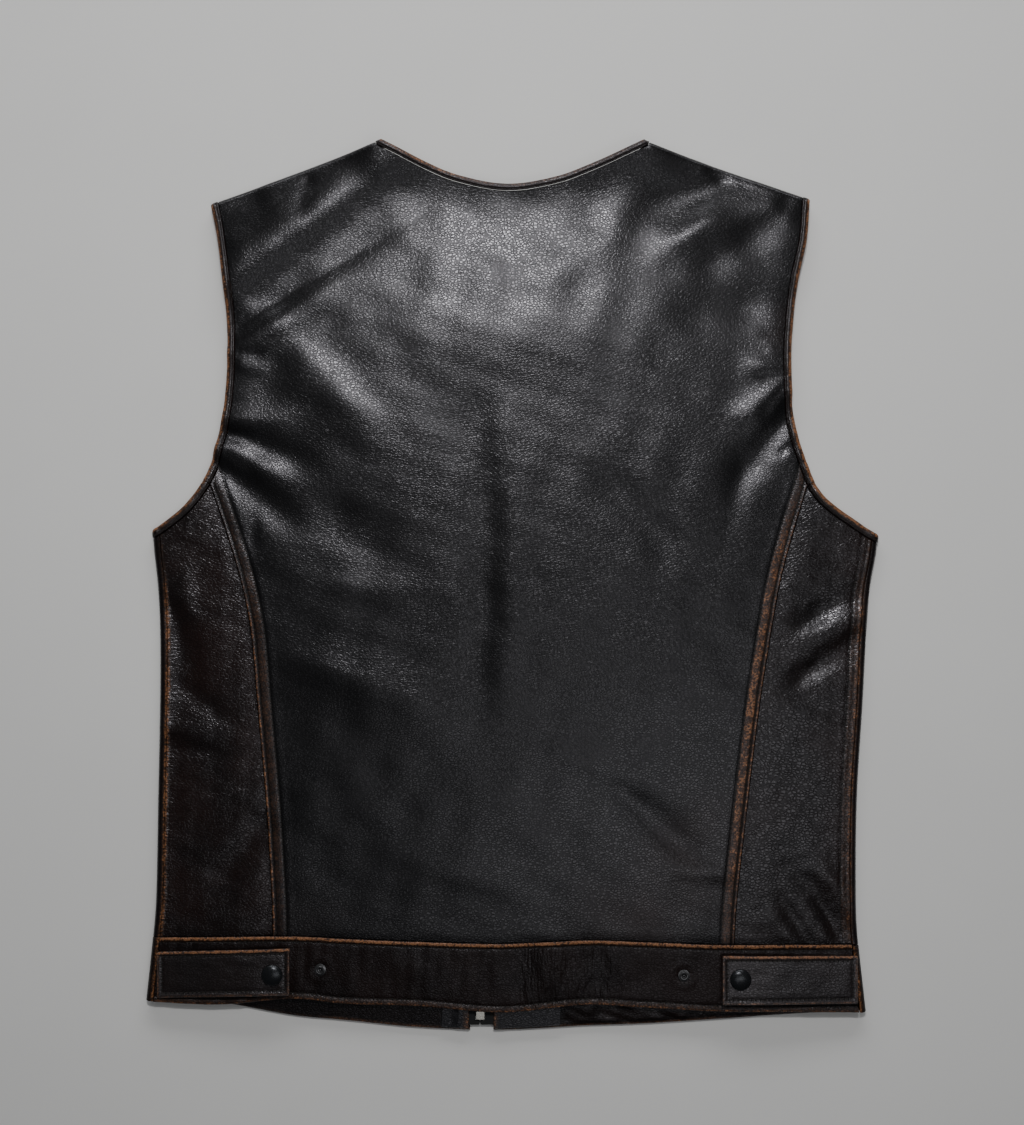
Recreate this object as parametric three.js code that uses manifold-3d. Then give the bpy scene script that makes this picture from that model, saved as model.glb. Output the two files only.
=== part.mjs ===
// A collarless leather zip vest, laid flat on its fronts with its back up.
// Millimetres. +Z is up, +Y runs to the neck and +X is the wearer's right, on the right from above.
// The origin is on the ground, under the middle of the laid garment.
import * as THREE from "three";
import { mergeVertices } from "three/addons/utils/BufferGeometryUtils.js";
import Module from "manifold-3d";

const wasm = await Module();
wasm.setup();

// Walls and gaps
const WALL = 2; // leather with its lining
const BAND_WALL = 3; // two layers of leather round a stiffener
const TAB_WALL = 2.2;
const FACING_WALL = 1.5;
const TAPE_WALL = 0.8;
const SEAM_GAP = 0.3;
const LAP = 0.8; // how far the centre back stands above the side backs at the princess seams

// Folded sides and shoulders: outer radii of the folds, in section
const FOLD_RADIUS = 3.8;
const BAND_FOLD_RADIUS = 4.4;
const SIDE_SEAM_INSET = { left: 5.6, right: 4.9 }; // from the folded side in to the side seam

// Edge bindings
const ARMHOLE_BINDING = { width: 6, thickness: 3.2 };
const NECK_BINDING = { width: 5, thickness: 3.2 };
const EDGE_LIFT = 0.75; // bound edges rest on their binding, which is thicker than the wall
const EDGE_LIFT_REACH = 14;
const UNDERARM_DIP = 1.6; // the armhole edge dips where it turns round the side fold

// Zip, which runs a little aslant in the laid garment
const ZIP_FOOT = { x: -24.3, y: -309.4 };
const ZIP_HEAD = { x: -3, y: 222 };
const CHAIN = { width: 6.2, thickness: 2.4 };
const BOX = { width: 6.6, length: 6.3, thickness: 3.4 };
const SLIDER = { width: 9.4, length: 13, thickness: 4.4, y: 211 };
const PIN_RADIUS = 0.5;
const PIN_DROP = 1.6; // from the slider's lower face down to its pin
const LUG = { width: 0.9, length: 3.6, height: 2.9, place: 2.6 }; // the pin's two ears
const PULL = { length: 27, width: 7, thickness: 1.2, eyeRadius: 1.3, eyeHole: 0.8 };
const TAPE_EDGE = 3.6; // from the zip's middle line to a tape's inner edge
const TAPE_OUTER = 15.5;
const FRONT_EDGE = { left: 7.9, right: 9.4 }; // from the zip's middle line to the front edges
const TAPE_TAIL = 7; // the tapes run on below the middle of the retaining box
const FACING_OUTER = { left: 28, right: 58 };
const FACING_HEM = 1.6; // the band's folded lower edge shows below the facings
const FACING_NECK = 1.5; // from the leather's neck edge down to a facing
const SLIDER_BUMP = { rise: 2.8, length: 38, width: 46 }; // the fronts rise over the slider

// Snaps: heights above the band's top surface
const SNAP_STACK = 3.6; // the tab's underside at its snap
const CAP = { radius: 7.65, rise: 3.1 };
const SOCKET = { radius: 5, recess: 3.35, bottom: 1.3, ceiling: 3 };
const STUD = { radius: 4.2, neck: 2.5, bead: 2.9, bore: 1.1, height: 2.7 };
const SHANK_RADIUS = 1.9;
const SNAP_PLACES = [
  { side: "left", cap: [-173, -277.5], spare: [-139.2, -275] },
  { side: "right", cap: [162, -280.8], spare: [122.1, -279.1] },
];
const TAB_CORNERS = {
  left: { base: -256.2, end: -160.6, baseTop: -262.2, baseFoot: -294.9, endTop: -258.8, endFoot: -291.9 },
  right: { base: 246.6, end: 149.2, baseTop: -265, baseFoot: -298.8, endTop: -264, endFoot: -298.6 },
};

// Side folds and princess seams of the laid garment, by height
const BODY = [
  { y: -300, sideLeft: -265.7, sideRight: 253.4, princessLeft: -173.4, princessRight: 158.2 },
  { y: -252, sideLeft: -260.6, sideRight: 248.2, princessLeft: -173.7, princessRight: 158.9 },
  { y: -225, sideLeft: -258.5, sideRight: 247, princessLeft: -174.2, princessRight: 160.6 },
  { y: -153, sideLeft: -257, sideRight: 247.7, princessLeft: -178.6, princessRight: 168.5 },
  { y: -81, sideLeft: -255.6, sideRight: 252, princessLeft: -184.9, princessRight: 177.4 },
  { y: -32, sideLeft: -255.6, sideRight: 254.6, princessLeft: -189.3, princessRight: 185.2 },
  { y: 0, sideLeft: -257.1, sideRight: 257.2, princessLeft: -195.5, princessRight: 190.9 },
  { y: 28, sideLeft: -259.9, sideRight: 261.8, princessLeft: -203.4, princessRight: 197.8 },
  { y: 75, sideLeft: -262.6, sideRight: 266, princessLeft: -218.9, princessRight: 211.7 },
];

// Outer edge of the bound armholes, by height, from the shoulder down
const ARMHOLE = {
  left: [
    { y: 275.8, x: -218.5 },
    { y: 250, x: -213.3 },
    { y: 213, x: -208.4 },
    { y: 174, x: -206.4 },
    { y: 130, x: -209 },
    { y: 96, x: -216.7 },
    { y: 79, x: -222.8 },
    { y: 60, x: -236.4 },
    { y: 49, x: -249.1 },
    { y: 39.6, x: -262.2 },
  ],
  right: [
    { y: 279.4, x: 213.1 },
    { y: 251, x: 210.9 },
    { y: 220, x: 204.7 },
    { y: 179, x: 200.2 },
    { y: 152, x: 199.7 },
    { y: 117, x: 202.8 },
    { y: 91, x: 210.5 },
    { y: 66, x: 222.9 },
    { y: 44, x: 251.9 },
    { y: 35.3, x: 266.4 },
  ],
};
const FRONT_SCOOP = 6; // the front armholes are cut deeper, hidden under the back

// Outer edge of the bound back neck, and the folded shoulders beside it
const NECK = [
  { x: -96.5, y: 320.4 },
  { x: -64.8, y: 305.3 },
  { x: -38.9, y: 295.2 },
  { x: -4.3, y: 289.4 },
  { x: 30.2, y: 294.5 },
  { x: 56.2, y: 303.8 },
  { x: 94.3, y: 320.4 },
];
const SHOULDER_TIP = { left: { x: -218.5, y: 275.8 }, right: { x: 213.1, y: 279.4 } };

// Hem lines: the back band's two edges and the front bands' lower edge, which hangs below it
const HEM = [
  { x: -266, bandTop: -252.4, bandFoot: -298.1, frontFoot: -298.1 },
  { x: -212, bandTop: -252, bandFoot: -300.2, frontFoot: -300.8 },
  { x: -158, bandTop: -251.6, bandFoot: -296, frontFoot: -310 },
  { x: -121, bandTop: -253.3, bandFoot: -299.5, frontFoot: -313.4 },
  { x: -69, bandTop: -255.4, bandFoot: -301, frontFoot: -318.5 },
  { x: -8, bandTop: -256.8, bandFoot: -305.6, frontFoot: -320.3 },
  { x: 51, bandTop: -254.4, bandFoot: -300.2, frontFoot: -317.3 },
  { x: 94, bandTop: -255.6, bandFoot: -302.1, frontFoot: -315.8 },
  { x: 147, bandTop: -257.6, bandFoot: -305.1, frontFoot: -312.5 },
  { x: 199, bandTop: -257.6, bandFoot: -305.6, frontFoot: -308.9 },
  { x: 254, bandTop: -257.6, bandFoot: -306, frontFoot: -306.3 },
];

// How far the back lies above a flat back, along its middle line; it falls to nothing at the sides
const BULGE = [
  { y: -256, rise: 0.9 },
  { y: -150, rise: 1.5 },
  { y: 0, rise: 2 },
  { y: 120, rise: 2.9 },
  { y: 215, rise: 3.7 },
  { y: 290, rise: 2.2 },
  { y: 330, rise: 1 },
];
const BULGE_HALF_WIDTH = 258;

// Largest folds of the back: each runs from a start to an end and fades out there.
// width: at the start and the end. rise: up, or down where negative. lean: widens its left side and
// narrows its right side, seen from start to end. whole: 1 at full strength from the start, else 0.
const FOLDS = [
  { from: [-198, 186], to: [-56, 284], width: [13, 24], rise: -3, lean: 0.35, whole: 1 },
  { from: [-197, 170], to: [-96, 240], width: [9, 18], rise: 1.6, lean: 0, whole: 1 },
  { from: [-192, 244], to: [-108, 302], width: [18, 22], rise: 1.7, lean: 0, whole: 1 },
  { from: [162, 294], to: [66, 262], width: [9, 20], rise: -2.2, lean: 0, whole: 1 },
  { from: [184, 274], to: [92, 240], width: [9, 18], rise: 1.8, lean: 0, whole: 1 },
  { from: [198, 236], to: [106, 222], width: [16, 24], rise: -1.7, lean: 0, whole: 1 },
  { from: [198, 160], to: [158, 156], width: [7, 9], rise: 1.4, lean: 0, whole: 1 },
  { from: [199, 146], to: [150, 110], width: [8, 13], rise: 2.1, lean: 0, whole: 1 },
  { from: [200, 128], to: [148, 58], width: [8, 14], rise: -2.2, lean: 0, whole: 1 },
  { from: [-205, 121], to: [-152, 118], width: [7, 11], rise: 1.6, lean: 0, whole: 1 },
  { from: [-207, 109], to: [-130, 82], width: [8, 16], rise: -2, lean: 0, whole: 1 },
  { from: [-210, 100], to: [-158, 74], width: [7, 12], rise: 1.7, lean: 0, whole: 1 },
  { from: [-214, 88], to: [-142, 34], width: [8, 16], rise: -2.2, lean: 0, whole: 1 },
  { from: [-188, 180], to: [-62, 90], width: [15, 28], rise: 1.2, lean: 0, whole: 0 },
  { from: [-172, -42], to: [-12, -104], width: [14, 26], rise: 1.4, lean: 0, whole: 0 },
  { from: [70, -142], to: [142, -206], width: [14, 20], rise: -1.4, lean: 0, whole: 0 },
  { from: [-18, 116], to: [-14, -88], width: [12, 14], rise: -1, lean: 0, whole: 0 },
  { from: [-152, -186], to: [-78, -238], width: [26, 30], rise: -1, lean: 0, whole: 0 },
  { from: [-248, -16], to: [-224, -90], width: [9, 12], rise: -1.6, lean: 0, whole: 1 },
  { from: [-253, -100], to: [-198, -112], width: [7, 10], rise: 1.2, lean: 0, whole: 1 },
  { from: [-182, -174], to: [-230, -228], width: [9, 12], rise: -1.6, lean: 0, whole: 1 },
  { from: [252, -2], to: [190, -32], width: [9, 13], rise: -1.8, lean: 0, whole: 1 },
  { from: [250, -22], to: [194, -47], width: [8, 11], rise: 1.4, lean: 0, whole: 1 },
  { from: [249, -38], to: [186, -76], width: [9, 13], rise: -1.9, lean: 0, whole: 1 },
  { from: [244, -252], to: [190, -186], width: [8, 10], rise: -1.4, lean: 0, whole: 1 },
  { from: [248, -238], to: [206, -184], width: [7, 9], rise: 1.1, lean: 0, whole: 1 },
];

// Waves of the back waistband, as the folds above
const BAND_FOLDS = [
  { from: [8, -258], to: [4, -304], width: [7, 9], rise: -1, lean: 0, whole: 1 },
  { from: [30, -256], to: [24, -302], width: [9, 11], rise: 0.9, lean: 0, whole: 1 },
  { from: [60, -256], to: [66, -302], width: [8, 10], rise: -0.8, lean: 0, whole: 1 },
  { from: [-96, -262], to: [-44, -290], width: [9, 12], rise: 0.7, lean: 0, whole: 0 },
];
const BAND_BULGE = 1.3;

// Numbers of steps along the pieces
const STEPS = { princess: 15, armhole: 13, shoulder: 7, neck: 12, roll: 4, wrap: 6, sideAcross: 5 };
const FRONT_STEPS = { side: 9, armhole: 9, shoulder: 6, neck: 5 };
const BAND_STEPS = { along: 36, across: 3 };
const FACING_STEPS = { left: 1, right: 3, up: 14 };
const LINE_STEPS = 60; // points of a line before its piece's own points are picked from it

// What lies inside the fronts steps down from the band's top to the front's just above the band
const BAND_STEP = { foot: -270.8, head: -267 };

// From the table's origin to the middle of the laid garment's outline, which is the part's origin
const MIDDLE = { x: -1.358, y: 0.339 };

const SIGN = { left: -1, right: 1 };
const SIDES = ["left", "right"];
const HALF_GAP = SEAM_GAP / 2;

// Tables and plane curves

// The value of a column at a place along the key column, on a smooth curve through the rows.
function at(rows, key, column, place) {
  let i = 0;
  while (i < rows.length - 2 && (place - rows[i + 1][key]) * (rows[1][key] - rows[0][key]) > 0) i++;
  const [a, b] = [rows[i], rows[i + 1]];
  const [before, after] = [rows[i - 1] ?? a, rows[i + 2] ?? b];
  const span = b[key] - a[key];
  const slopeA = (b[column] - before[column]) / (b[key] - before[key]);
  const slopeB = (after[column] - a[column]) / (after[key] - a[key]);
  const t = (place - a[key]) / span;
  if (t < 0) return a[column] + slopeA * (place - a[key]);
  if (t > 1) return b[column] + slopeB * (place - b[key]);
  const [t2, t3] = [t * t, t * t * t];
  return (
    (2 * t3 - 3 * t2 + 1) * a[column] +
    (t3 - 2 * t2 + t) * span * slopeA +
    (3 * t2 - 2 * t3) * b[column] +
    (t3 - t2) * span * slopeB
  );
}

const lerp = THREE.MathUtils.lerp;
const smooth = THREE.MathUtils.smoothstep;
const bell = (x) => Math.exp(-x * x);
const shares = (n) => Array.from({ length: n + 1 }, (_, i) => i / n);

// Lengths along a line up to each of its points.
function lengths(line) {
  const sums = [0];
  for (let i = 1; i < line.length; i++) sums.push(sums[i - 1] + line[i].distanceTo(line[i - 1]));
  return sums;
}

// Each point's share of the line's length.
function sharesOf(line) {
  const sums = lengths(line);
  return sums.map((s) => s / sums.at(-1));
}

// Points of a line at given shares of its length.
function pick(line, wanted) {
  const sums = lengths(line);
  return wanted.map((share) => {
    const goal = share * sums.at(-1);
    let i = 1;
    while (i < sums.length - 1 && sums[i] < goal) i++;
    return line[i - 1].clone().lerp(line[i], (goal - sums[i - 1]) / (sums[i] - sums[i - 1]));
  });
}

// The line moved sideways, to its left where the distance is positive.
function inset(line, distance) {
  return line.map((p, i) => {
    const along = (line[i + 1] ?? p).clone().sub(line[i - 1] ?? p).normalize();
    return new THREE.Vector2(p.x - along.y * distance, p.y + along.x * distance);
  });
}

// The part of a line where a measure of its points is positive, cut exactly at its ends.
function trim(line, measure) {
  const kept = [];
  line.forEach((p, i) => {
    const here = measure(p);
    const last = i ? measure(line[i - 1]) : here;
    if (here * last < 0) kept.push(line[i - 1].clone().lerp(p, last / (last - here)));
    if (here >= 0) kept.push(p);
  });
  return kept;
}

function distanceTo(line, x, y) {
  return Math.min(...line.map((p) => Math.hypot(p.x - x, p.y - y)));
}

// Rows of plane points inside four edges: left and right run up, bottom and top run across.
function patch(left, right, bottom, top) {
  const [sl, sr, sb, st] = [left, right, bottom, top].map(sharesOf);
  return left.map((_, i) =>
    bottom.map((_, j) => {
      const v = (sl[i] + sr[i]) / 2;
      const u = (sb[j] + st[j]) / 2;
      const blend = (key) =>
        (1 - u) * left[i][key] + u * right[i][key] + (1 - v) * bottom[j][key] + v * top[j][key] -
        (1 - u) * (1 - v) * bottom[0][key] - u * (1 - v) * bottom.at(-1)[key] -
        (1 - u) * v * top[0][key] - u * v * top.at(-1)[key];
      return new THREE.Vector2(blend("x"), blend("y"));
    }),
  );
}

// Outline of the laid garment

const sideX = (side, y) => at(BODY, "y", side === "left" ? "sideLeft" : "sideRight", y);
const princessX = (side, y) => at(BODY, "y", side === "left" ? "princessLeft" : "princessRight", y);
const hem = (column, x) => at(HEM, "x", column, x);
const frontBandTop = (x) => hem("frontFoot", x) + hem("bandTop", x) - hem("bandFoot", x);
const zipX = (y) => lerp(ZIP_FOOT.x, ZIP_HEAD.x, (y - ZIP_FOOT.y) / (ZIP_HEAD.y - ZIP_FOOT.y));

// How far a point lies inside the folded side, and inside the folded shoulder.
const insideSide = (side, p) => SIGN[side] * (sideX(side, p.y) - p.x);
const NECK_POINT = { left: NECK[0], right: NECK.at(-1) };
function shoulderNormal(side) {
  const [tip, point] = [SHOULDER_TIP[side], NECK_POINT[side]];
  return new THREE.Vector2(SIGN[side] * (point.y - tip.y), Math.abs(point.x - tip.x)).normalize();
}
function insideShoulder(side, p) {
  const tip = SHOULDER_TIP[side];
  return new THREE.Vector2(tip.x - p.x, tip.y - p.y).dot(shoulderNormal(side));
}

// Edge of the leather at an armhole, inside its binding, from above the shoulder to the side.
function armholeLine(side, scoop) {
  const rows = ARMHOLE[side];
  const outer = shares(LINE_STEPS).map((t) => {
    const y = lerp(rows[0].y + 4, rows.at(-1).y, t);
    return new THREE.Vector2(at(rows, "y", "x", y), y);
  });
  return inset(outer, -SIGN[side] * ARMHOLE_BINDING.width).map(
    (p, i) => new THREE.Vector2(p.x - SIGN[side] * scoop * Math.sin((Math.PI * i) / LINE_STEPS), p.y),
  );
}

// Edge of the leather at the back neck, from the left shoulder to the right one.
function neckLine() {
  const outer = shares(LINE_STEPS).map((t) => {
    const x = lerp(NECK[0].x - 3, NECK.at(-1).x + 3, t);
    return new THREE.Vector2(x, at(NECK, "x", "y", x));
  });
  let line = inset(outer, -NECK_BINDING.width);
  for (const side of SIDES) line = trim(line, (p) => insideShoulder(side, p) - FOLD_RADIUS);
  return line;
}
const BACK_NECK = neckLine();

// Edge of the leather at one side of the front neck: a quarter of an ellipse, shoulder to zip.
function frontNeckLine(side) {
  const start = side === "left" ? BACK_NECK[0] : BACK_NECK.at(-1);
  const middle = ZIP_HEAD.x;
  const line = shares(LINE_STEPS).map((t) => {
    const angle = (Math.PI / 2) * t;
    const x = middle + (start.x - middle) * Math.cos(angle);
    return new THREE.Vector2(x, start.y + (ZIP_HEAD.y - start.y) * Math.sin(angle));
  });
  return trim(line, (p) => SIGN[side] * (p.x - zipX(p.y)) - FRONT_EDGE[side]);
}
const FRONT_NECK = { left: frontNeckLine("left"), right: frontNeckLine("right") };
const BACK_ARMHOLE = { left: armholeLine("left", 0), right: armholeLine("right", 0) };
const FRONT_ARMHOLE = { left: armholeLine("left", FRONT_SCOOP), right: armholeLine("right", FRONT_SCOOP) };

// Heights of the middle surfaces of the walls

const BOUND_EDGES = [...Object.values(FRONT_ARMHOLE), ...Object.values(FRONT_NECK)];
function edgeLift(x, y) {
  const near = Math.min(...BOUND_EDGES.map((line) => distanceTo(line, x, y)));
  return EDGE_LIFT * bell(near / EDGE_LIFT_REACH);
}

function sliderLift(x, y) {
  const across = 1 - smooth(Math.abs(x - zipX(y)), SLIDER_BUMP.width * 0.35, SLIDER_BUMP.width);
  return SLIDER_BUMP.rise * across * bell((y - SLIDER.y) / SLIDER_BUMP.length);
}

const frontHeight = (x, y) => WALL / 2 + edgeLift(x, y) + sliderLift(x, y);

function foldHeight(rows, x, y) {
  let sum = 0;
  for (const { from, to, width, rise, lean, whole } of rows) {
    const [dx, dy] = [to[0] - from[0], to[1] - from[1]];
    const length = Math.hypot(dx, dy);
    const t = THREE.MathUtils.clamp(((x - from[0]) * dx + (y - from[1]) * dy) / length ** 2, 0, 1);
    const side = (dx * (y - from[1]) - dy * (x - from[0])) / length;
    const away = Math.hypot(x - from[0] - t * dx, y - from[1] - t * dy);
    const reach = lerp(width[0], width[1], t) * (1 + lean * Math.tanh(side / 4));
    const start = whole + (1 - whole) * smooth(t, 0, 0.35);
    sum += rise * start * (1 - smooth(t, 0.5, 1)) * bell(away / reach);
  }
  return sum;
}

const bulge = (x, y) => at(BULGE, "y", "rise", y) * Math.max(0, 1 - (x / BULGE_HALF_WIDTH) ** 2);
const BACK_TOP = 2 * FOLD_RADIUS - WALL / 2;
const backHeight = (x, y) => BACK_TOP + edgeLift(x, y) + bulge(x, y) + foldHeight(FOLDS, x, y);

const BAND_TOP = 2 * BAND_FOLD_RADIUS - BAND_WALL / 2;
function bandHeight(x, y) {
  const middle = Math.max(0, 1 - (x / BULGE_HALF_WIDTH) ** 2);
  return BAND_TOP + BAND_BULGE * middle + foldHeight(BAND_FOLDS, x, y);
}

// Sheets: middle surfaces made of quads, thickened into walls

const keyOf = (p) => [p.x, p.y, p.z].map((c) => c.toFixed(3)).join();

// One surface from grids of points that share edges, its faces turned the way the piece faces.
function sheet(grids, facing) {
  const points = [];
  const index = new Map();
  const find = (p) => {
    if (!index.has(keyOf(p))) index.set(keyOf(p), points.push(p) - 1);
    return index.get(keyOf(p));
  };
  const quads = [];
  for (const grid of grids)
    for (let i = 1; i < grid.length; i++)
      for (let j = 1; j < grid[i].length; j++)
        quads.push([grid[i - 1][j - 1], grid[i - 1][j], grid[i][j], grid[i][j - 1]].map(find));
  const normalOf = ([a, b, c, d]) =>
    points[c].clone().sub(points[a]).cross(points[d].clone().sub(points[b])).multiplyScalar(0.5);
  if (normalOf(quads[0]).dot(facing) < 0) quads.forEach((q) => q.reverse());
  const normals = points.map(() => new THREE.Vector3());
  for (const quad of quads) for (const k of quad) normals[k].add(normalOf(quad));
  normals.forEach((n, i) => (points[i].normal ? n.copy(points[i].normal) : n.normalize()));
  return { points, normals, quads, edgePoint: (p) => ({ point: p, normal: normals[index.get(keyOf(p))] }) };
}

// A closed wall round a sheet, half of it on each side.
function thicken({ points, normals, quads }, wall) {
  const moved = (side) =>
    points.map((p, i) => p.clone().addScaledVector(normals[i], (side * wall) / 2));
  const n = points.length;
  const faces = [];
  const edges = new Set(quads.flatMap((q) => q.map((a, k) => `${a},${q[(k + 1) % 4]}`)));
  for (const [a, b, c, d] of quads) {
    faces.push(a, b, c, a, c, d, n + c, n + b, n + a, n + d, n + c, n + a);
    for (const [p, q] of [[a, b], [b, c], [c, d], [d, a]])
      if (!edges.has(`${q},${p}`)) faces.push(q, p, n + p, q, n + p, n + q);
  }
  return geometryOf([...moved(1), ...moved(-1)], faces);
}

function geometryOf(points, faces) {
  const geometry = new THREE.BufferGeometry();
  geometry.setAttribute("position", new THREE.Float32BufferAttribute(points.flatMap((p) => [...p]), 3));
  geometry.setIndex(faces);
  geometry.computeVertexNormals();
  return geometry;
}

const lifted = (rows, height) =>
  rows.map((row) => row.map((p) => new THREE.Vector3(p.x, p.y, height(p.x, p.y))));

// A point on a fold, at an angle from its outermost line: 90 is its upper edge, -90 its lower one.
function rollPoint(edge, outward, degrees, radius, wall, low, high) {
  const angle = THREE.MathUtils.degToRad(degrees);
  const out = (radius - wall / 2) * Math.cos(angle);
  const middle = radius + edgeLift(edge.x, edge.y);
  const z = middle + Math.sin(angle) * (degrees > 0 ? high - middle : middle - low);
  const point = new THREE.Vector3(edge.x + outward.x * out, edge.y + outward.y * out, z);
  if (Math.abs(degrees) < 89) {
    const [flat, rise] = [Math.cos(angle), Math.sin(angle)];
    point.normal = new THREE.Vector3(outward.x * flat, outward.y * flat, rise);
  }
  return point;
}

// Rolls a row of edge points over the shoulder, to just short of the seam on the fold.
function shoulderRoll(side, edge, up) {
  const last = THREE.MathUtils.radToDeg(Math.asin(HALF_GAP / (FOLD_RADIUS - WALL / 2)));
  const outward = shoulderNormal(side);
  return shares(STEPS.roll).map((t, i) =>
    edge.map((p) => {
      if (i === 0) return p;
      const degrees = up * lerp(90, last, t);
      return rollPoint(p, outward, degrees, FOLD_RADIUS, WALL, p.z, p.z);
    }),
  );
}

// Panels

// Edges of the centre back at one side: up the princess seam, then up the armhole to the shoulder.
function centreEdge(side) {
  const sign = SIGN[side];
  const within = (p) => sign * (princessX(side, p.y) - p.x) - HALF_GAP;
  const onBack = trim(BACK_ARMHOLE[side], (p) => insideShoulder(side, p) - FOLD_RADIUS);
  const armhole = trim(onBack, within).reverse();
  const foot = hem("bandTop", princessX(side, BODY[1].y)) + HALF_GAP;
  const seam = shares(LINE_STEPS).map((t) => {
    const y = lerp(foot, armhole[0].y, t);
    return new THREE.Vector2(princessX(side, y) - sign * HALF_GAP, y);
  });
  seam[LINE_STEPS] = armhole[0];
  return [...pick(seam, shares(STEPS.princess)), ...pick(armhole, shares(STEPS.armhole)).slice(1)];
}

// A line across at a height y(x).
const hemLine = (startX, endX, y) =>
  shares(LINE_STEPS).map((t) => new THREE.Vector2(lerp(startX, endX, t), y(lerp(startX, endX, t))));

function backPanel() {
  const [left, right] = SIDES.map(centreEdge);
  const shoulder = (a, b) => pick([a, b], shares(STEPS.shoulder));
  const top = [
    ...shoulder(left.at(-1), BACK_NECK[0]),
    ...pick(BACK_NECK, shares(STEPS.neck)).slice(1),
    ...shoulder(BACK_NECK.at(-1), right.at(-1)).slice(1),
  ];
  const foot = hemLine(left[0].x, right[0].x, (x) => hem("bandTop", x) + HALF_GAP);
  const rows = lifted(patch(left, right, pick(foot, sharesOf(top)), top), backHeight);
  const edge = rows.at(-1);
  const rolls = {
    left: shoulderRoll("left", edge.slice(0, STEPS.shoulder + 1), 1),
    right: shoulderRoll("right", edge.slice(-STEPS.shoulder - 1), 1),
  };
  return { ...sheet([rows, rolls.left, rolls.right], new THREE.Vector3(0, 0, 1)), rows, rolls };
}

const sideBackHeight = (side) => (x, y) => {
  const fromSeam = SIGN[side] * (x - princessX(side, y));
  return backHeight(x, y) - LAP * bell(fromSeam / 14);
};

function sideBack(side) {
  const sign = SIGN[side];
  const insetX = SIDE_SEAM_INSET[side] + HALF_GAP;
  const outside = trim(BACK_ARMHOLE[side], (p) => sign * (p.x - princessX(side, p.y)) - HALF_GAP);
  const armhole = trim(outside, (p) => insideSide(side, p) - insetX).reverse();
  const column = (end, place) =>
    shares(LINE_STEPS).map((t) => {
      const y = lerp(hem("bandTop", place(BODY[1].y)) + HALF_GAP, end.y, t);
      return new THREE.Vector2(place(y), y);
    });
  const up = shares(STEPS.princess);
  const outer = pick(column(armhole[0], (y) => sideX(side, y) - sign * insetX), up);
  const inner = pick(column(armhole.at(-1), (y) => princessX(side, y) + sign * HALF_GAP), up);
  const across = shares(STEPS.sideAcross);
  const foot = hemLine(outer[0].x, inner[0].x, (x) => hem("bandTop", x) + HALF_GAP);
  const rows = lifted(
    patch(outer, inner, pick(foot, across), pick(armhole, across)),
    sideBackHeight(side),
  );
  return { ...sheet([rows], new THREE.Vector3(0, 0, 1)), rows };
}

// Rows that run round the side fold, from the side seam on the back to the flat front. Each row
// lies at the height y(share), 0 at the seam and 1 at the front.
function sideWrap(side, heights, radius, wall, low, high) {
  const sign = SIGN[side];
  const outward = new THREE.Vector2(sign, 0);
  const seamInset = SIDE_SEAM_INSET[side] - HALF_GAP;
  const arc = Math.PI * (radius - wall / 2);
  const total = arc + seamInset - radius;
  return heights.map((place) => {
    const seamX = sideX(side, place(0)) - sign * seamInset;
    const seam = new THREE.Vector3(seamX, place(0), high(seamX, place(0)));
    const roll = shares(STEPS.wrap).map((t) => {
      const rowY = place((t * arc + seamInset - radius) / total);
      const edge = new THREE.Vector2(sideX(side, rowY) - sign * radius, rowY);
      return rollPoint(
        edge, outward, lerp(90, -90, t), radius, wall, low(edge.x, edge.y), high(edge.x, edge.y),
      );
    });
    return [seam, ...roll];
  });
}
function frontPanel(side, seamTop) {
  const sign = SIGN[side];
  const onFront = trim(FRONT_ARMHOLE[side], (p) => insideShoulder(side, p) - FOLD_RADIUS);
  const armhole = trim(onFront, (p) => insideSide(side, p) - FOLD_RADIUS).reverse();
  const sideFoot = frontBandTop(sideX(side, BODY[1].y)) + HALF_GAP;
  const fold = shares(FRONT_STEPS.side).map((t) => {
    const y = lerp(sideFoot, armhole[0].y, t);
    return new THREE.Vector2(sideX(side, y) - sign * FOLD_RADIUS, y);
  });
  fold[FRONT_STEPS.side] = armhole[0];
  const outer = [...fold, ...pick(armhole, shares(FRONT_STEPS.armhole)).slice(1)];
  const neck = FRONT_NECK[side];
  const top = [
    ...pick([outer.at(-1), neck[0]], shares(FRONT_STEPS.shoulder)),
    ...pick(neck, shares(FRONT_STEPS.neck)).slice(1),
  ];
  const edgeX = (y) => zipX(y) + sign * FRONT_EDGE[side];
  const zipFoot = frontBandTop(edgeX(ZIP_FOOT.y)) + HALF_GAP;
  const inner = pick([new THREE.Vector2(edgeX(zipFoot), zipFoot), top.at(-1)], sharesOf(outer));
  const foot = hemLine(outer[0].x, inner[0].x, (x) => frontBandTop(x) + HALF_GAP);
  const rows = lifted(patch(outer, inner, pick(foot, sharesOf(top)), top), frontHeight);
  const level = rows.slice(0, FRONT_STEPS.side).map(([p]) => () => p.y);
  const armholeEnd = (share) =>
    lerp(seamTop.y, armhole[0].y, share) - UNDERARM_DIP * Math.sin(Math.PI * share);
  const wrap = sideWrap(
    side, [...level, armholeEnd], FOLD_RADIUS, WALL, frontHeight, backHeight,
  );
  wrap.forEach((row, i) => (row[row.length - 1] = rows[i][0]));
  const roll = shoulderRoll(side, rows.at(-1).slice(0, FRONT_STEPS.shoulder + 1), -1);
  return { ...sheet([rows, wrap, roll], new THREE.Vector3(0, 0, -1)), rows, wrap, roll };
}

// Waistbands

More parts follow.
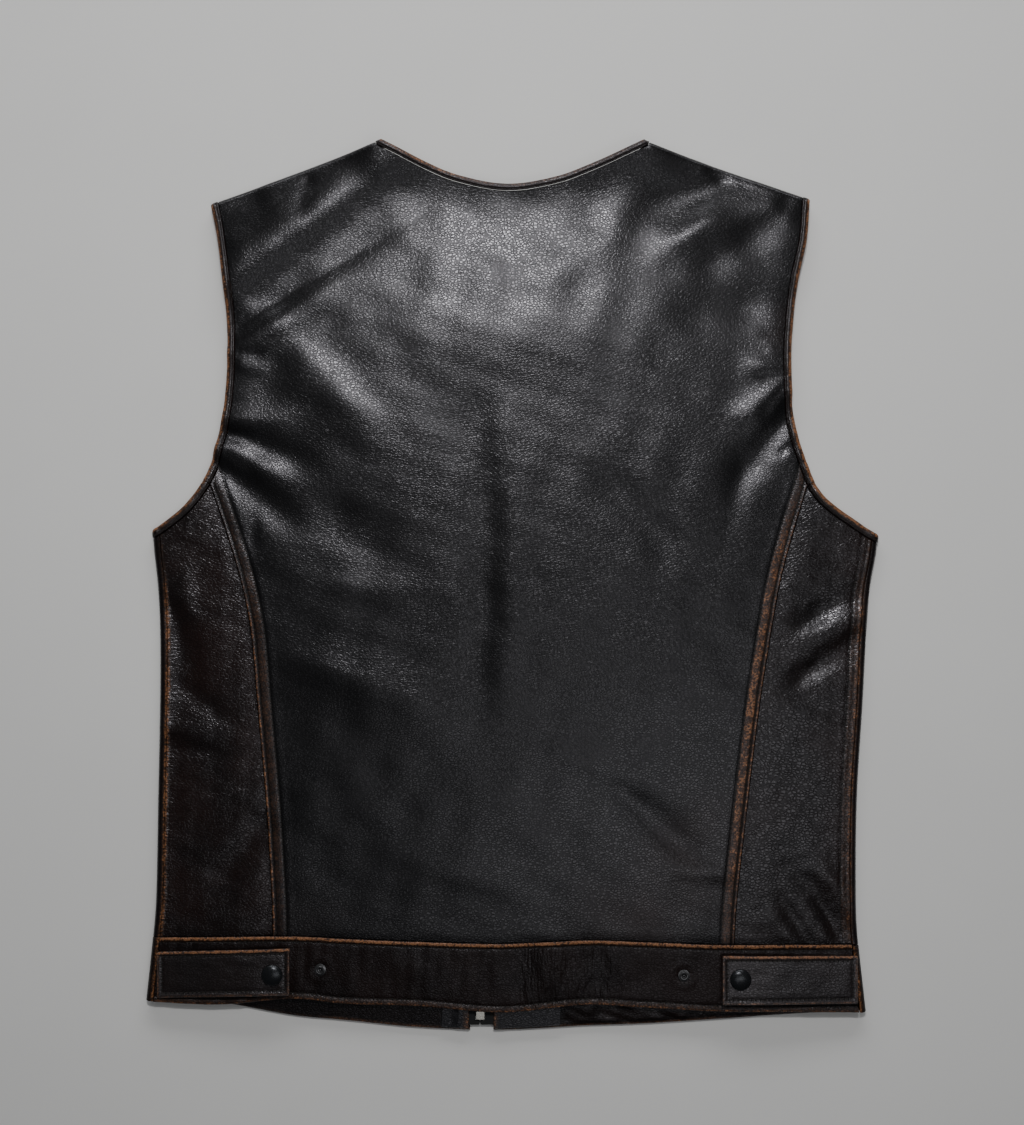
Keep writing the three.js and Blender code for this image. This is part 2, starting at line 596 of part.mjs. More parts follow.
// Rows between two hem lines, between two side lines x(y).
function bandRows(startX, endX, footY, topY, columns, height) {
  const corner = startX(HEM[0].bandFoot);
  return shares(BAND_STEPS.across).map((v) =>
    columns.map((u) => {
      const guess = lerp(footY(corner), topY(corner), v);
      const x = lerp(startX(guess), endX(guess), u);
      const y = lerp(footY(x), topY(x), v);
      return new THREE.Vector3(x, y, height(x, y));
    }),
  );
}

function bandBack() {
  const seamX = (side) => (y) => sideX(side, y) - SIGN[side] * (SIDE_SEAM_INSET[side] + HALF_GAP);
  const rows = bandRows(
    seamX("left"), seamX("right"),
    (x) => hem("bandFoot", x), (x) => hem("bandTop", x) - HALF_GAP,
    shares(BAND_STEPS.along), bandHeight,
  );
  return sheet([rows], new THREE.Vector3(0, 0, 1));
}

function bandFront(side, front) {
  const sign = SIGN[side];
  const foot = front.rows[0].map((p) => p.x);
  const columns = foot.map((x) => (x - foot[0]) / (foot.at(-1) - foot[0]));
  const flat = () => BAND_WALL / 2;
  const rows = bandRows(
    (y) => sideX(side, y) - sign * BAND_FOLD_RADIUS,
    (y) => zipX(y) + sign * FRONT_EDGE[side],
    (x) => hem("frontFoot", x), (x) => frontBandTop(x) - HALF_GAP,
    columns, flat,
  );
  const level = rows.map(([p]) => () => p.y);
  const wrap = sideWrap(side, level, BAND_FOLD_RADIUS, BAND_WALL, flat, bandHeight);
  wrap.forEach((row, i) => (row[row.length - 1] = rows[i][0]));
  return sheet([rows, wrap], new THREE.Vector3(0, 0, -1));
}

// Lowest height for what lies inside the fronts and their bands
function innerHeight(x, y) {
  const up = THREE.MathUtils.clamp((y - BAND_STEP.foot) / (BAND_STEP.head - BAND_STEP.foot), 0, 1);
  return frontHeight(x, y) + WALL / 2 + (BAND_WALL - WALL) * (1 - up) + SEAM_GAP;
}

// Heights along the zip from a foot to a head, with a row at each end of the step.
const zipRows = (foot, head, steps) => [
  foot, lerp(foot, BAND_STEP.foot, 0.5), BAND_STEP.foot,
  ...shares(steps).map((t) => lerp(BAND_STEP.head, head, t)),
];

// Facings, inside the fronts along the zip, over the edge of the zip tape
function facing(side) {
  const sign = SIGN[side];
  const outer = FACING_OUTER[side];
  const onTape = [TAPE_OUTER + 1, FRONT_EDGE[side] + 0.4];
  const beside = shares(FACING_STEPS[side]).map((t) => lerp(outer, TAPE_OUTER + 4, t));
  const columns = [...beside, ...onTape].map((offset) => {
    const foot = hem("frontFoot", zipX(ZIP_FOOT.y) + sign * offset) + FACING_HEM;
    return zipRows(foot, frontNeckAt(side, offset) - FACING_NECK, FACING_STEPS.up).map((y) => {
      const x = zipX(y) + sign * offset;
      const lift = onTape.includes(offset) ? TAPE_WALL + SEAM_GAP : SEAM_GAP;
      return new THREE.Vector3(x, y, innerHeight(x, y) + lift + FACING_WALL / 2);
    });
  });
  return sheet([columns], new THREE.Vector3(0, 0, 1));
}

// Height of the front neck edge at a distance from the zip's middle line.
function frontNeckAt(side, offset) {
  return trim(FRONT_NECK[side], (p) => SIGN[side] * (p.x - zipX(p.y)) - offset).at(-1).y;
}

// Zip

const tapeHeight = (x, y) => innerHeight(x, y) + TAPE_WALL / 2;
const chainHeight = (y) => tapeHeight(zipX(y), y);

// A tape's inner edge meets its neighbour below the box, and keeps clear of the chain and slider.
function tapeInner(y) {
  if (y < ZIP_FOOT.y - BOX.length / 2 - SEAM_GAP) return HALF_GAP;
  return y < SLIDER.y - SLIDER.length / 2 - SEAM_GAP ? TAPE_EDGE : SLIDER.width / 2 + SEAM_GAP;
}

function zipTape(side) {
  const sign = SIGN[side];
  const boxFoot = ZIP_FOOT.y - BOX.length / 2 - SEAM_GAP;
  const sliderFoot = SLIDER.y - SLIDER.length / 2 - SEAM_GAP;
  const places = [
    ZIP_FOOT.y - TAPE_TAIL, boxFoot - SEAM_GAP,
    ...zipRows(boxFoot, sliderFoot - SEAM_GAP, 15),
    sliderFoot, SLIDER.y, ZIP_HEAD.y - 4,
  ];
  const rows = places.map((y) =>
    [TAPE_OUTER, FRONT_EDGE[side], tapeInner(y)].map((offset) => {
      const x = zipX(y) + sign * offset;
      return new THREE.Vector3(x, y, tapeHeight(x, y));
    }),
  );
  return sheet([rows], new THREE.Vector3(0, 0, 1));
}

function zipTeeth() {
  const foot = ZIP_FOOT.y + BOX.length / 2 + SEAM_GAP;
  const head = SLIDER.y - SLIDER.length / 2 - SEAM_GAP;
  const rows = zipRows(foot, head, 20).map((y) =>
    [-1, 1].map((k) => new THREE.Vector3(zipX(y) + (k * CHAIN.width) / 2, y, chainHeight(y))),
  );
  return sheet([rows], new THREE.Vector3(0, 0, 1));
}

// A block with rounded corners in plan and bevelled faces, centred on the origin.
function roundedBlock(width, length, thickness, radius, bevel) {
  const [w, l] = [width / 2 - bevel, length / 2 - bevel];
  const shape = new THREE.Shape();
  shape.moveTo(w, -l + radius);
  shape.lineTo(w, l - radius);
  shape.quadraticCurveTo(w, l, w - radius, l);
  shape.lineTo(-w + radius, l);
  shape.quadraticCurveTo(-w, l, -w, l - radius);
  shape.lineTo(-w, -l + radius);
  shape.quadraticCurveTo(-w, -l, -w + radius, -l);
  shape.lineTo(w - radius, -l);
  shape.quadraticCurveTo(w, -l, w, -l + radius);
  const geometry = new THREE.ExtrudeGeometry(shape, {
    depth: thickness - 2 * bevel, bevelEnabled: true, bevelSize: bevel, bevelThickness: bevel,
    bevelSegments: 1, curveSegments: 3,
  });
  return geometry.translate(0, 0, bevel - thickness / 2);
}

// A cylinder along X, centred on the origin.
const barX = (radius, length, sides = 16) =>
  new THREE.CylinderGeometry(radius, radius, length, sides).rotateZ(Math.PI / 2);

// The slider's body with two lugs below it and the pin between them; its middle is at the origin.
function sliderSolid() {
  const body = solidOf(roundedBlock(SLIDER.width, SLIDER.length, SLIDER.thickness, 2, 0.6));
  const lugs = [-1, 1].map((k) =>
    solidOf(
      new THREE.BoxGeometry(LUG.width, LUG.length, LUG.height)
        .translate(k * LUG.place, 0, (LUG.height - SLIDER.thickness) / 2 - PIN_DROP - PIN_RADIUS - 0.4),
    ),
  );
  const pin = solidOf(barX(PIN_RADIUS, 2 * LUG.place).translate(0, 0, -SLIDER.thickness / 2 - PIN_DROP));
  return body.add(lugs[0]).add(lugs[1]).add(pin);
}

// The pull tab, hanging down the zip from its eye at the origin.
function pullSolid() {
  const eyeWidth = 2 * LUG.place - LUG.width - 2 * SEAM_GAP;
  const eye = solidOf(barX(PULL.eyeRadius, eyeWidth, 20));
  const neck = solidOf(roundedBlock(eyeWidth, 6, PULL.thickness, 0.4, 0.2).translate(0, -3.4, 0));
  const plateLength = PULL.length - 5;
  const plate = roundedBlock(PULL.width, plateLength, PULL.thickness, 2, 0.25);
  plate.translate(0, plateLength / 2 - PULL.length, 0);
  const slot = solidOf(roundedBlock(2.6, 8, 3, 0.8, 0).translate(0, 7 - PULL.length, 0));
  const bored = eye.add(neck).subtract(solidOf(barX(PULL.eyeHole, 12)));
  return bored.add(solidOf(plate).subtract(slot));
}

// Manifold solids from geometries and back

function solidOf(geometry) {
  const plain = geometry.clone();
  plain.deleteAttribute("normal");
  plain.deleteAttribute("uv");
  const merged = mergeVertices(plain, 1e-4);
  return new wasm.Manifold(
    new wasm.Mesh({
      numProp: 3,
      vertProperties: merged.attributes.position.array,
      triVerts: Uint32Array.from(merged.index.array),
    }),
  );
}

function geometryFrom(solid) {
  const { vertProperties, triVerts } = solid.getMesh();
  const geometry = new THREE.BufferGeometry();
  geometry.setAttribute("position", new THREE.BufferAttribute(vertProperties, 3));
  geometry.setIndex(new THREE.BufferAttribute(triVerts, 1));
  geometry.computeVertexNormals();
  return geometry;
}

// Snaps and tabs

// A shape turned about +Z from a profile of [radius, height] pairs.
function turned(profile, steps = 24) {
  const points = profile.map(([r, z]) => new THREE.Vector2(r, z));
  return new THREE.LatheGeometry(points, steps).rotateX(Math.PI / 2);
}

// The cap's dome on the tab, its shank through the tab and its socket below; 0 is the band's top.
function capGeometry() {
  const seat = SNAP_STACK + TAB_WALL + SEAM_GAP;
  const dome = shares(5).map((t) => {
    const angle = (Math.PI / 2) * t;
    return [CAP.radius * Math.cos(angle), seat + 0.5 + CAP.rise * Math.sin(angle)];
  });
  dome[5][0] = 0;
  return turned([
    [0, SOCKET.ceiling],
    [SOCKET.recess, SOCKET.ceiling],
    [SOCKET.recess, SOCKET.bottom],
    [SOCKET.radius, SOCKET.bottom],
    [SOCKET.radius, SNAP_STACK - SEAM_GAP],
    [SHANK_RADIUS, SNAP_STACK - SEAM_GAP],
    [SHANK_RADIUS, seat],
    [CAP.radius - 0.5, seat],
    ...dome,
  ]);
}

// A ring stud with a bored post; 0 is the band's top.
function studGeometry() {
  return turned([
    [STUD.bore, SEAM_GAP],
    [STUD.radius - 0.4, SEAM_GAP],
    [STUD.radius, SEAM_GAP + 0.3],
    [STUD.neck + 0.5, SEAM_GAP + 0.7],
    [STUD.neck, STUD.height - 1],
    [STUD.bead, STUD.height - 0.5],
    [STUD.neck, STUD.height],
    [STUD.bore, STUD.height],
    [STUD.bore, SEAM_GAP],
  ], 16);
}

// A tab from its base at the side seam to its free end, raised over its snap, with the shank's hole.
function tabGeometry(side, cap) {
  const c = TAB_CORNERS[side];
  const rows = shares(3).map((v) =>
    shares(9).map((u) => {
      const x = lerp(c.base, c.end, u);
      const y = lerp(lerp(c.baseFoot, c.endFoot, u), lerp(c.baseTop, c.endTop, u), v);
      const rise = lerp(SEAM_GAP, SNAP_STACK, smooth(u, 0, 0.8));
      return new THREE.Vector3(x, y, bandHeight(x, y) + BAND_WALL / 2 + rise + TAB_WALL / 2);
    }),
  );
  const wall = solidOf(thicken(sheet([rows], new THREE.Vector3(0, 0, 1)), TAB_WALL));
  const drill = turned([[0, 0], [SHANK_RADIUS + SEAM_GAP, 0], [SHANK_RADIUS + SEAM_GAP, 30], [0, 30]]);
  return geometryFrom(wall.subtract(solidOf(drill.translate(cap[0], cap[1], 0))));
}

// Bindings: a rounded strip swept along the edges of the panels

// Width, out from the edge, and height above the middle surface, round the strip's section.
function bindingSection({ width, thickness }) {
  const half = thickness / 2;
  return [
    [SEAM_GAP, -half + 0.3],
    [SEAM_GAP, half - 0.3],
    [1.4, half],
    [width - 1.6, half],
    [width, 0.45 * half],
    [width, -0.45 * half],
    [width - 1.6, -half],
    [1.4, -half],
  ];
}

// Merges places that meet at a seam, then finds the way along and out of the edge at each.
function edgeFrames(places, closed) {
  const merged = [];
  for (const place of places) {
    const last = merged.at(-1);
    if (last && last.point.distanceTo(place.point) < 2.5 * SEAM_GAP) {
      last.point = last.point.clone().lerp(place.point, 0.5);
      last.normal = last.normal.clone().add(place.normal).normalize();
    } else merged.push({ ...place });
  }
  if (closed && merged[0].point.distanceTo(merged.at(-1).point) < 2.5 * SEAM_GAP) merged.pop();
  return merged.map(({ point, normal }, i) => {
    const along = new THREE.Vector3();
    for (const step of [-1, 1]) {
      const other = closed ? merged.at((i + step) % merged.length) : merged[i + step];
      if (!other) continue;
      const way = other.point.clone().sub(point).multiplyScalar(step);
      along.addScaledVector(way, 1 / way.lengthSq());
    }
    return { point, normal, out: along.cross(normal).normalize() };
  });
}

// A strip along the frames; outSign turns it to the side away from the panel.
function sweep(frames, section, outSign, closed) {
  const m = section.length;
  const points = frames.flatMap(({ point, normal, out }) =>
    section.map(([a, b]) => point.clone().addScaledVector(out, outSign * a).addScaledVector(normal, b)),
  );
  const faces = [];
  const rings = frames.length;
  for (let i = 0; i < (closed ? rings : rings - 1); i++)
    for (let k = 0; k < m; k++) {
      const [a, b] = [i * m + k, i * m + ((k + 1) % m)];
      const [c, d] = [((i + 1) % rings) * m + ((k + 1) % m), ((i + 1) % rings) * m + k];
      faces.push(a, b, c, a, c, d);
    }
  if (!closed)
    for (let k = 1; k < m - 1; k++) {
      const end = (rings - 1) * m;
      faces.push(0, k + 1, k, end, end + k, end + k + 1);
    }
  if (outSign < 0) faces.reverse();
  return geometryOf(points, faces);
}

function armholeBinding(side, back, sidePanel, front) {
  const column = side === "left" ? 0 : back.rows[0].length - 1;
  const rollColumn = side === "left" ? 0 : STEPS.shoulder;
  const places = [
    ...back.rows.slice(STEPS.princess).map((row) => back.edgePoint(row[column])),
    ...back.rolls[side].slice(1).map((row) => back.edgePoint(row[rollColumn])),
    ...front.roll.slice(1).reverse().map((row) => front.edgePoint(row[0])),
    ...front.rows.slice(FRONT_STEPS.side).reverse().map((row) => front.edgePoint(row[0])),
    ...front.wrap.at(-1).slice(0, -1).reverse().map((p) => front.edgePoint(p)),
    ...sidePanel.rows.at(-1).map((p) => sidePanel.edgePoint(p)),
  ];
  return sweep(edgeFrames(places, true), bindingSection(ARMHOLE_BINDING), SIGN[side], true);
}

function neckBinding(back, fronts) {
  const edge = back.rows.at(-1).slice(STEPS.shoulder, STEPS.shoulder + STEPS.neck + 1);
  const half = (side) => {
    const front = fronts[side];
    const column = side === "left" ? STEPS.shoulder : 0;
    return [
      ...front.rows.at(-1).slice(FRONT_STEPS.shoulder).reverse().map((p) => front.edgePoint(p)),
      ...front.roll.slice(1).map((row) => front.edgePoint(row[FRONT_STEPS.shoulder])),
      ...back.rolls[side].slice(1).reverse().map((row) => back.edgePoint(row[column])),
    ];
  };
  const places = [...half("left"), ...edge.map((p) => back.edgePoint(p)), ...half("right").reverse()];
  return sweep(edgeFrames(places, false), bindingSection(NECK_BINDING), -1, false);
}

// The vest

const matter = (color, roughness, metalness) =>
  new THREE.MeshStandardMaterial({ color, roughness, metalness });
const leather = (color) => matter(color, 0.5, 0);
const COLOURS = {
  leather: 0x232325, sidePanel: 0x2b2322, band: 0x2a2322, edge: 0x4a2f22, facing: 0x2c2d31,
};
const BLACK_METAL = matter(0x1c1e22, 0.35, 0.8);
const BARE_METAL = matter(0xb8b9b6, 0.35, 1);
const FABRIC = matter(0x141416, 0.9, 0);

const vest = new THREE.Group();
vest.position.set(-MIDDLE.x, -MIDDLE.y, 0);
function piece(name, geometry, material, parent = vest) {
  const mesh = new THREE.Mesh(geometry, material);
  mesh.name = name;
  parent.add(mesh);
  return mesh;
}

const back = backPanel();
const sideBacks = { left: sideBack("left"), right: sideBack("right") };
const fronts = {};
piece("back_panel", thicken(back, WALL), leather(COLOURS.leather));
piece("band_back", thicken(bandBack(), BAND_WALL), leather(COLOURS.band));
for (const side of SIDES) {
  const seamTop = sideBacks[side].rows.at(-1)[0];
  fronts[side] = frontPanel(side, seamTop);
  piece(`side_back_${side}`, thicken(sideBacks[side], WALL), leather(COLOURS.sidePanel));
  piece(`front_${side}`, thicken(fronts[side], WALL), leather(COLOURS.leather));
  piece(`band_front_${side}`, thicken(bandFront(side, fronts[side]), BAND_WALL), leather(COLOURS.band));
  piece(`facing_${side}`, thicken(facing(side), FACING_WALL), leather(COLOURS.facing));
  piece(`zip_tape_${side}`, thicken(zipTape(side), TAPE_WALL), FABRIC);
  piece(
    `binding_armhole_${side}`,
    armholeBinding(side, back, sideBacks[side], fronts[side]),
    leather(COLOURS.edge),
  );
}
piece("binding_neck", neckBinding(back, fronts), leather(COLOURS.edge));

// Tabs and snaps stand on the band's top surface
for (const { side, cap, spare } of SNAP_PLACES) {
  const stand = ([x, y]) => [x, y, bandHeight(x, y) + BAND_WALL / 2];
  piece(`tab_${side}`, tabGeometry(side, cap), leather(COLOURS.band));
  piece(`snap_cap_${side}`, capGeometry(), BLACK_METAL).position.set(...stand(cap));
  piece(`snap_stud_${side}`, studGeometry(), BLACK_METAL).position.set(...stand(cap));
  piece(`spare_stud_${side}`, studGeometry(), BLACK_METAL).position.set(...stand(spare));
}

// Zip chain, retaining box, slider and pull tab
piece("zip_teeth", thicken(zipTeeth(), CHAIN.thickness), BARE_METAL);
const zipTurn = -Math.atan2(ZIP_HEAD.x - ZIP_FOOT.x, ZIP_HEAD.y - ZIP_FOOT.y);
function onZip(y) {
  const group = new THREE.Group();
  group.position.set(zipX(y), y, chainHeight(y));
  group.rotation.z = zipTurn;
  vest.add(group);
  return group;
}
const boxBlock = roundedBlock(BOX.width, BOX.length, BOX.thickness, 0.8, 0.4);
piece("zip_box", boxBlock, BARE_METAL, onZip(ZIP_FOOT.y));
const sliderGroup = onZip(SLIDER.y);
piece("zip_slider", geometryFrom(sliderSolid()), BARE_METAL, sliderGroup);
const pull = piece("zip_pull", geometryFrom(pullSolid()), BARE_METAL, sliderGroup);
pull.position.z = -SLIDER.thickness / 2 - PIN_DROP;

const part = new THREE.Group();
part.add(vest);
export default part;
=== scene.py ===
"""A collarless leather zip vest, laid flat on its fronts with its back up, on a pale floor."""
import math

import bpy
import numpy as np
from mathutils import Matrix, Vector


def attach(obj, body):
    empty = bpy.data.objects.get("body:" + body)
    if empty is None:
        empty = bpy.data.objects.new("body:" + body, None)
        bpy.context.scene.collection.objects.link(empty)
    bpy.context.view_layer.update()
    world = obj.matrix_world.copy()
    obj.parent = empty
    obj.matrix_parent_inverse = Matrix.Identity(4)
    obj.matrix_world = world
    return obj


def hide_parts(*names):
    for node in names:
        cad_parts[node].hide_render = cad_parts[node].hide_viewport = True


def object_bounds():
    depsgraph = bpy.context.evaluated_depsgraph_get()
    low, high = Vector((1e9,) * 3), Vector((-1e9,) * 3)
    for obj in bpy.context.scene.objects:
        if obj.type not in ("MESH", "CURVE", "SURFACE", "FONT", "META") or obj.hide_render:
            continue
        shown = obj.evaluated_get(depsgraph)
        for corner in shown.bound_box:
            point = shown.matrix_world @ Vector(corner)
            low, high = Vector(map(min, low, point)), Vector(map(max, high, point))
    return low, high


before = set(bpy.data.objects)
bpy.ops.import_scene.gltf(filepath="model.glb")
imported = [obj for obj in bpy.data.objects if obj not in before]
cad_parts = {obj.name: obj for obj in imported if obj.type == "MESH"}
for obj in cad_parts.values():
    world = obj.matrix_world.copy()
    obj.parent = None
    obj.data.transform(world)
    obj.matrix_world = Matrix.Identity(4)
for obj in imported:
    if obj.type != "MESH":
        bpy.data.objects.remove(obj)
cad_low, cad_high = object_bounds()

# Sizes in millimetres; the tables' origin lies a little beside the vest's middle
MM = 0.001
MIDDLE = np.array([-1.358, 0.339])
WALL, BAND_WALL, TAB_WALL, FACING_WALL, TAPE_WALL = 2.0, 3.0, 2.2, 1.5, 0.8
SEAM_GAP = 0.3
HALF_GAP = SEAM_GAP / 2
LAP = 0.8
FOLD_RADIUS = 3.8
BAND_FOLD_RADIUS = 4.4
SIDE_SEAM_INSET = {"left": 5.6, "right": 4.9}
ARMHOLE_BINDING = (6, 3.2)
NECK_BINDING = (5, 3.2)
EDGE_LIFT, EDGE_LIFT_REACH, UNDERARM_DIP = 0.75, 14, 1.6
ZIP_FOOT, ZIP_HEAD = (-24.3, -309.4), (-3.0, 222.0)
BOX_LENGTH, SLIDER_Y, SLIDER_WIDTH, SLIDER_LENGTH = 6.3, 211, 9.4, 13
TAPE_EDGE, TAPE_OUTER, TAPE_TAIL = 3.6, 15.5, 7
FRONT_EDGE = {"left": 7.9, "right": 9.4}
FACING_OUTER = {"left": 28, "right": 58}
FACING_HEM, FACING_NECK = 1.6, 1.5
SLIDER_RISE, SLIDER_BUMP_LENGTH, SLIDER_BUMP_WIDTH = 2.8, 38, 46
BAND_STEP = (-270.8, -267)
BULGE_HALF_WIDTH = 258
BAND_BULGE = 1.3
SNAP_STACK = 3.6
FRONT_SCOOP = 6
BACK_TOP = 2 * FOLD_RADIUS - WALL / 2
BAND_TOP = 2 * BAND_FOLD_RADIUS - BAND_WALL / 2
# Snaps: a cap on the tab and a bare stud on the band
SNAP_PLACES = {"left": ((-173, -277.5), (-139.2, -275)), "right": ((162, -280.8), (122.1, -279.1))}
SIGN = {"left": -1, "right": 1}
SIDES = ("left", "right")
LINE_STEPS = 240


def table(names, *rows):
    """The columns of a table, by name."""
    return dict(zip(names.split(), np.array(rows, float).T))


BODY = table(
    "y side_left side_right princess_left princess_right",
    (-300, -265.7, 253.4, -173.4, 158.2),
    (-252, -260.6, 248.2, -173.7, 158.9),
    (-225, -258.5, 247.0, -174.2, 160.6),
    (-153, -257.0, 247.7, -178.6, 168.5),
    (-81, -255.6, 252.0, -184.9, 177.4),
    (-32, -255.6, 254.6, -189.3, 185.2),
    (0, -257.1, 257.2, -195.5, 190.9),
    (28, -259.9, 261.8, -203.4, 197.8),
    (75, -262.6, 266.0, -218.9, 211.7),
)
ARMHOLE = {
    "left": table(
        "y x",
        (275.8, -218.5), (250, -213.3), (213, -208.4), (174, -206.4), (130, -209),
        (96, -216.7), (79, -222.8), (60, -236.4), (49, -249.1), (39.6, -262.2),
    ),
    "right": table(
        "y x",
        (279.4, 213.1), (251, 210.9), (220, 204.7), (179, 200.2), (152, 199.7),
        (117, 202.8), (91, 210.5), (66, 222.9), (44, 251.9), (35.3, 266.4),
    ),
}
NECK = table(
    "x y",
    (-96.5, 320.4), (-64.8, 305.3), (-38.9, 295.2), (-4.3, 289.4),
    (30.2, 294.5), (56.2, 303.8), (94.3, 320.4),
)
SHOULDER_TIP = {"left": (-218.5, 275.8), "right": (213.1, 279.4)}
NECK_POINT = {"left": (-96.5, 320.4), "right": (94.3, 320.4)}
HEM = table(
    "x band_top band_foot front_foot",
    (-266, -252.4, -298.1, -298.1),
    (-212, -252.0, -300.2, -300.8),
    (-158, -251.6, -296.0, -310.0),
    (-121, -253.3, -299.5, -313.4),
    (-69, -255.4, -301.0, -318.5),
    (-8, -256.8, -305.6, -320.3),
    (51, -254.4, -300.2, -317.3),
    (94, -255.6, -302.1, -315.8),
    (147, -257.6, -305.1, -312.5),
    (199, -257.6, -305.6, -308.9),
    (254, -257.6, -306.0, -306.3),
)
BULGE = table(
    "y rise", (-256, 0.9), (-150, 1.5), (0, 2), (120, 2.9), (215, 3.7), (290, 2.2), (330, 1)
)

# Folds: start and end, half width at each, rise, lean to the left side, and whether the start is full
FOLD_COLUMNS = "x0 y0 x1 y1 wide0 wide1 rise lean whole"
FOLDS = table(
    FOLD_COLUMNS,
    (-198, 186, -56, 284, 13, 24, -3.0, 0.35, 1),
    (-197, 170, -96, 240, 9, 18, 1.6, 0, 1),
    (-192, 244, -108, 302, 18, 22, 1.7, 0, 1),
    (162, 294, 66, 262, 9, 20, -2.2, 0, 1),
    (184, 274, 92, 240, 9, 18, 1.8, 0, 1),
    (198, 236, 106, 222, 16, 24, -1.7, 0, 1),
    (198, 160, 158, 156, 7, 9, 1.4, 0, 1),
    (199, 146, 150, 110, 8, 13, 2.1, 0, 1),
    (200, 128, 148, 58, 8, 14, -2.2, 0, 1),
    (-205, 121, -152, 118, 7, 11, 1.6, 0, 1),
    (-207, 109, -130, 82, 8, 16, -2.0, 0, 1),
    (-210, 100, -158, 74, 7, 12, 1.7, 0, 1),
    (-214, 88, -142, 34, 8, 16, -2.2, 0, 1),
    (-188, 180, -62, 90, 15, 28, 1.2, 0, 0),
    (-172, -42, -12, -104, 14, 26, 1.4, 0, 0),
    (70, -142, 142, -206, 14, 20, -1.4, 0, 0),
    (-18, 116, -14, -88, 12, 14, -1.0, 0, 0),
    (-152, -186, -78, -238, 26, 30, -1.0, 0, 0),
    (-248, -16, -224, -90, 9, 12, -1.6, 0, 1),
    (-253, -100, -198, -112, 7, 10, 1.2, 0, 1),
    (-182, -174, -230, -228, 9, 12, -1.6, 0, 1),
    (252, -2, 190, -32, 9, 13, -1.8, 0, 1),
    (250, -22, 194, -47, 8, 11, 1.4, 0, 1),
    (249, -38, 186, -76, 9, 13, -1.9, 0, 1),
    (244, -252, 190, -186, 8, 10, -1.4, 0, 1),
    (248, -238, 206, -184, 7, 9, 1.1, 0, 1),
)
# Finer creases of the back
CREASES = table(
    FOLD_COLUMNS,
    (-198, 186, -56, 284, 13, 24, 2.2, 0.35, 1),
    (-198, 187, -34, 290, 4, 8, -0.6, 0, 1),
    (-197, 178, -150, 202, 5, 9, 0.5, 0, 1),
    (-206, 222, 30, 398, 21, 26, 4.8, 0.25, 1),
    (-178, 192, -66, 78, 14, 20, 1.1, -0.3, 1),
    (-95, 328, 30, 296, 30, 21, 7.5, 0, 1),
    (93, 328, -30, 296, 30, 21, 7.5, 0, 1),
    (185, 300, -60, 363, 24, 30, 3.0, 0, 1),
    (-135, 186, 150, 180, 30, 34, 1.9, 0, 0),
    (202, 252, 112, 240, 20, 22, 1.4, 0, 1),
    (104, 238, 172, 292, 9, 9, 1.6, 0, 0.3),
    (120, 226, 204, 262, 11, 14, -1.2, 0, 0),
    (202, 206, 104, 196, 14, 18, -1.8, 0, 1),
    (198, 238, 106, 224, 16, 24, 1.2, 0, 1),
    (-26, 120, -22, -160, 17, 10, -1.3, 0, 1),
    (-6, 120, -4, -160, 18, 11, 0.9, 0, 1),
    (-188, -38, -6, -114, 14, 20, 1.3, -0.25, 0),
    (168, 112, 150, 10, 8, 8, -0.8, 0, 0),
    (-150, 3, -40, -6, 9, 9, 0.6, 0, 0),
    (-160, 72, -66, 4, 20, 24, -2.2, 0, 0),
    (44, 98, 142, 0, 12, 16, -1.9, 0, 0),
    (34, -118, 74, -132, 9, 9, 0.7, 0, 1),
    (-84, -198, 28, -216, 14, 15, 1.1, 0, 0),
    (76, -146, 150, -210, 9, 12, -1.2, 0, 1),
    (150, -206, 96, -202, 7, 8, 0.9, 0, 1),
    (-128, -60, -40, -40, 26, 30, 0.7, 0, 0),
    (-60, -150, 40, -160, 24, 26, 0.8, 0, 0),
    (90, -20, 130, -110, 26, 30, 0.9, 0, 0),
    (-243, -70, -198, -98, 6, 8, -1.2, 0, 1),
    (-252, -112, -198, -125, 6, 7, -1.0, 0, 1),
    (-240, 24, -232, -40, 8, 8, 0.7, 0, 0),
    (-250, -150, -200, -160, 9, 9, 0.6, 0, 0),
    (240, -8, 186, -40, 6, 8, -1.1, 0, 0),
    (236, -46, 180, -84, 6, 8, -1.2, 0, 0),
    (213, -256, 184, -212, 5, 6, -1.4, 0, 1),
    (199, -256, 178, -226, 5, 6, 0.8, 0, 1),
    (233, -252, 214, -216, 4, 5, -1.2, 0, 1),
    (-178, 288, -170, 262, 8, 9, 0.8, 0, 1),
    (-148, 290, -156, 262, 5, 8, -1.0, 0, 1),
    (143, 300, 156, 288, 5, 6, -1.0, 0, 1),
    (204, 276, 190, 256, 6, 9, 0.6, 0, 1),
    (-197, 168, -176, 168, 3, 5, -0.7, 0, 1),
    (-196, 158, -172, 156, 3, 5, 0.5, 0, 1),
    (197, 182, 172, 184, 3, 5, -0.6, 0, 1),
    (198, 170, 176, 170, 3, 5, 0.5, 0, 1),
    (197, 152, 168, 150, 2.5, 4, -0.6, 0, 1),
    (196, 146, 172, 120, 2.5, 4, -0.7, 0, 1),
    (200, 102, 186, 92, 2.5, 3.5, -0.6, 0, 1),
    (203, 94, 194, 96, 2.5, 3.5, 0.5, 0, 1),
    (-206, 96, -182, 82, 2.5, 5, -0.8, 0, 1),
    (-205, 112, -184, 108, 2.5, 4, -0.6, 0, 1),
    (-206, 104, -180, 98, 2.5, 4, 0.5, 0, 1),
    (-186, 60, -190, 20, 4, 6, -0.7, 0, 0),
    (-190, 20, -186, -20, 4, 5, -0.5, 0, 0),
    (216, 66, 244, 47, 3, 3, 0.5, 0, 1),
    (-244, -6, -222, -28, 5, 6, 0.5, 0, 1),
)
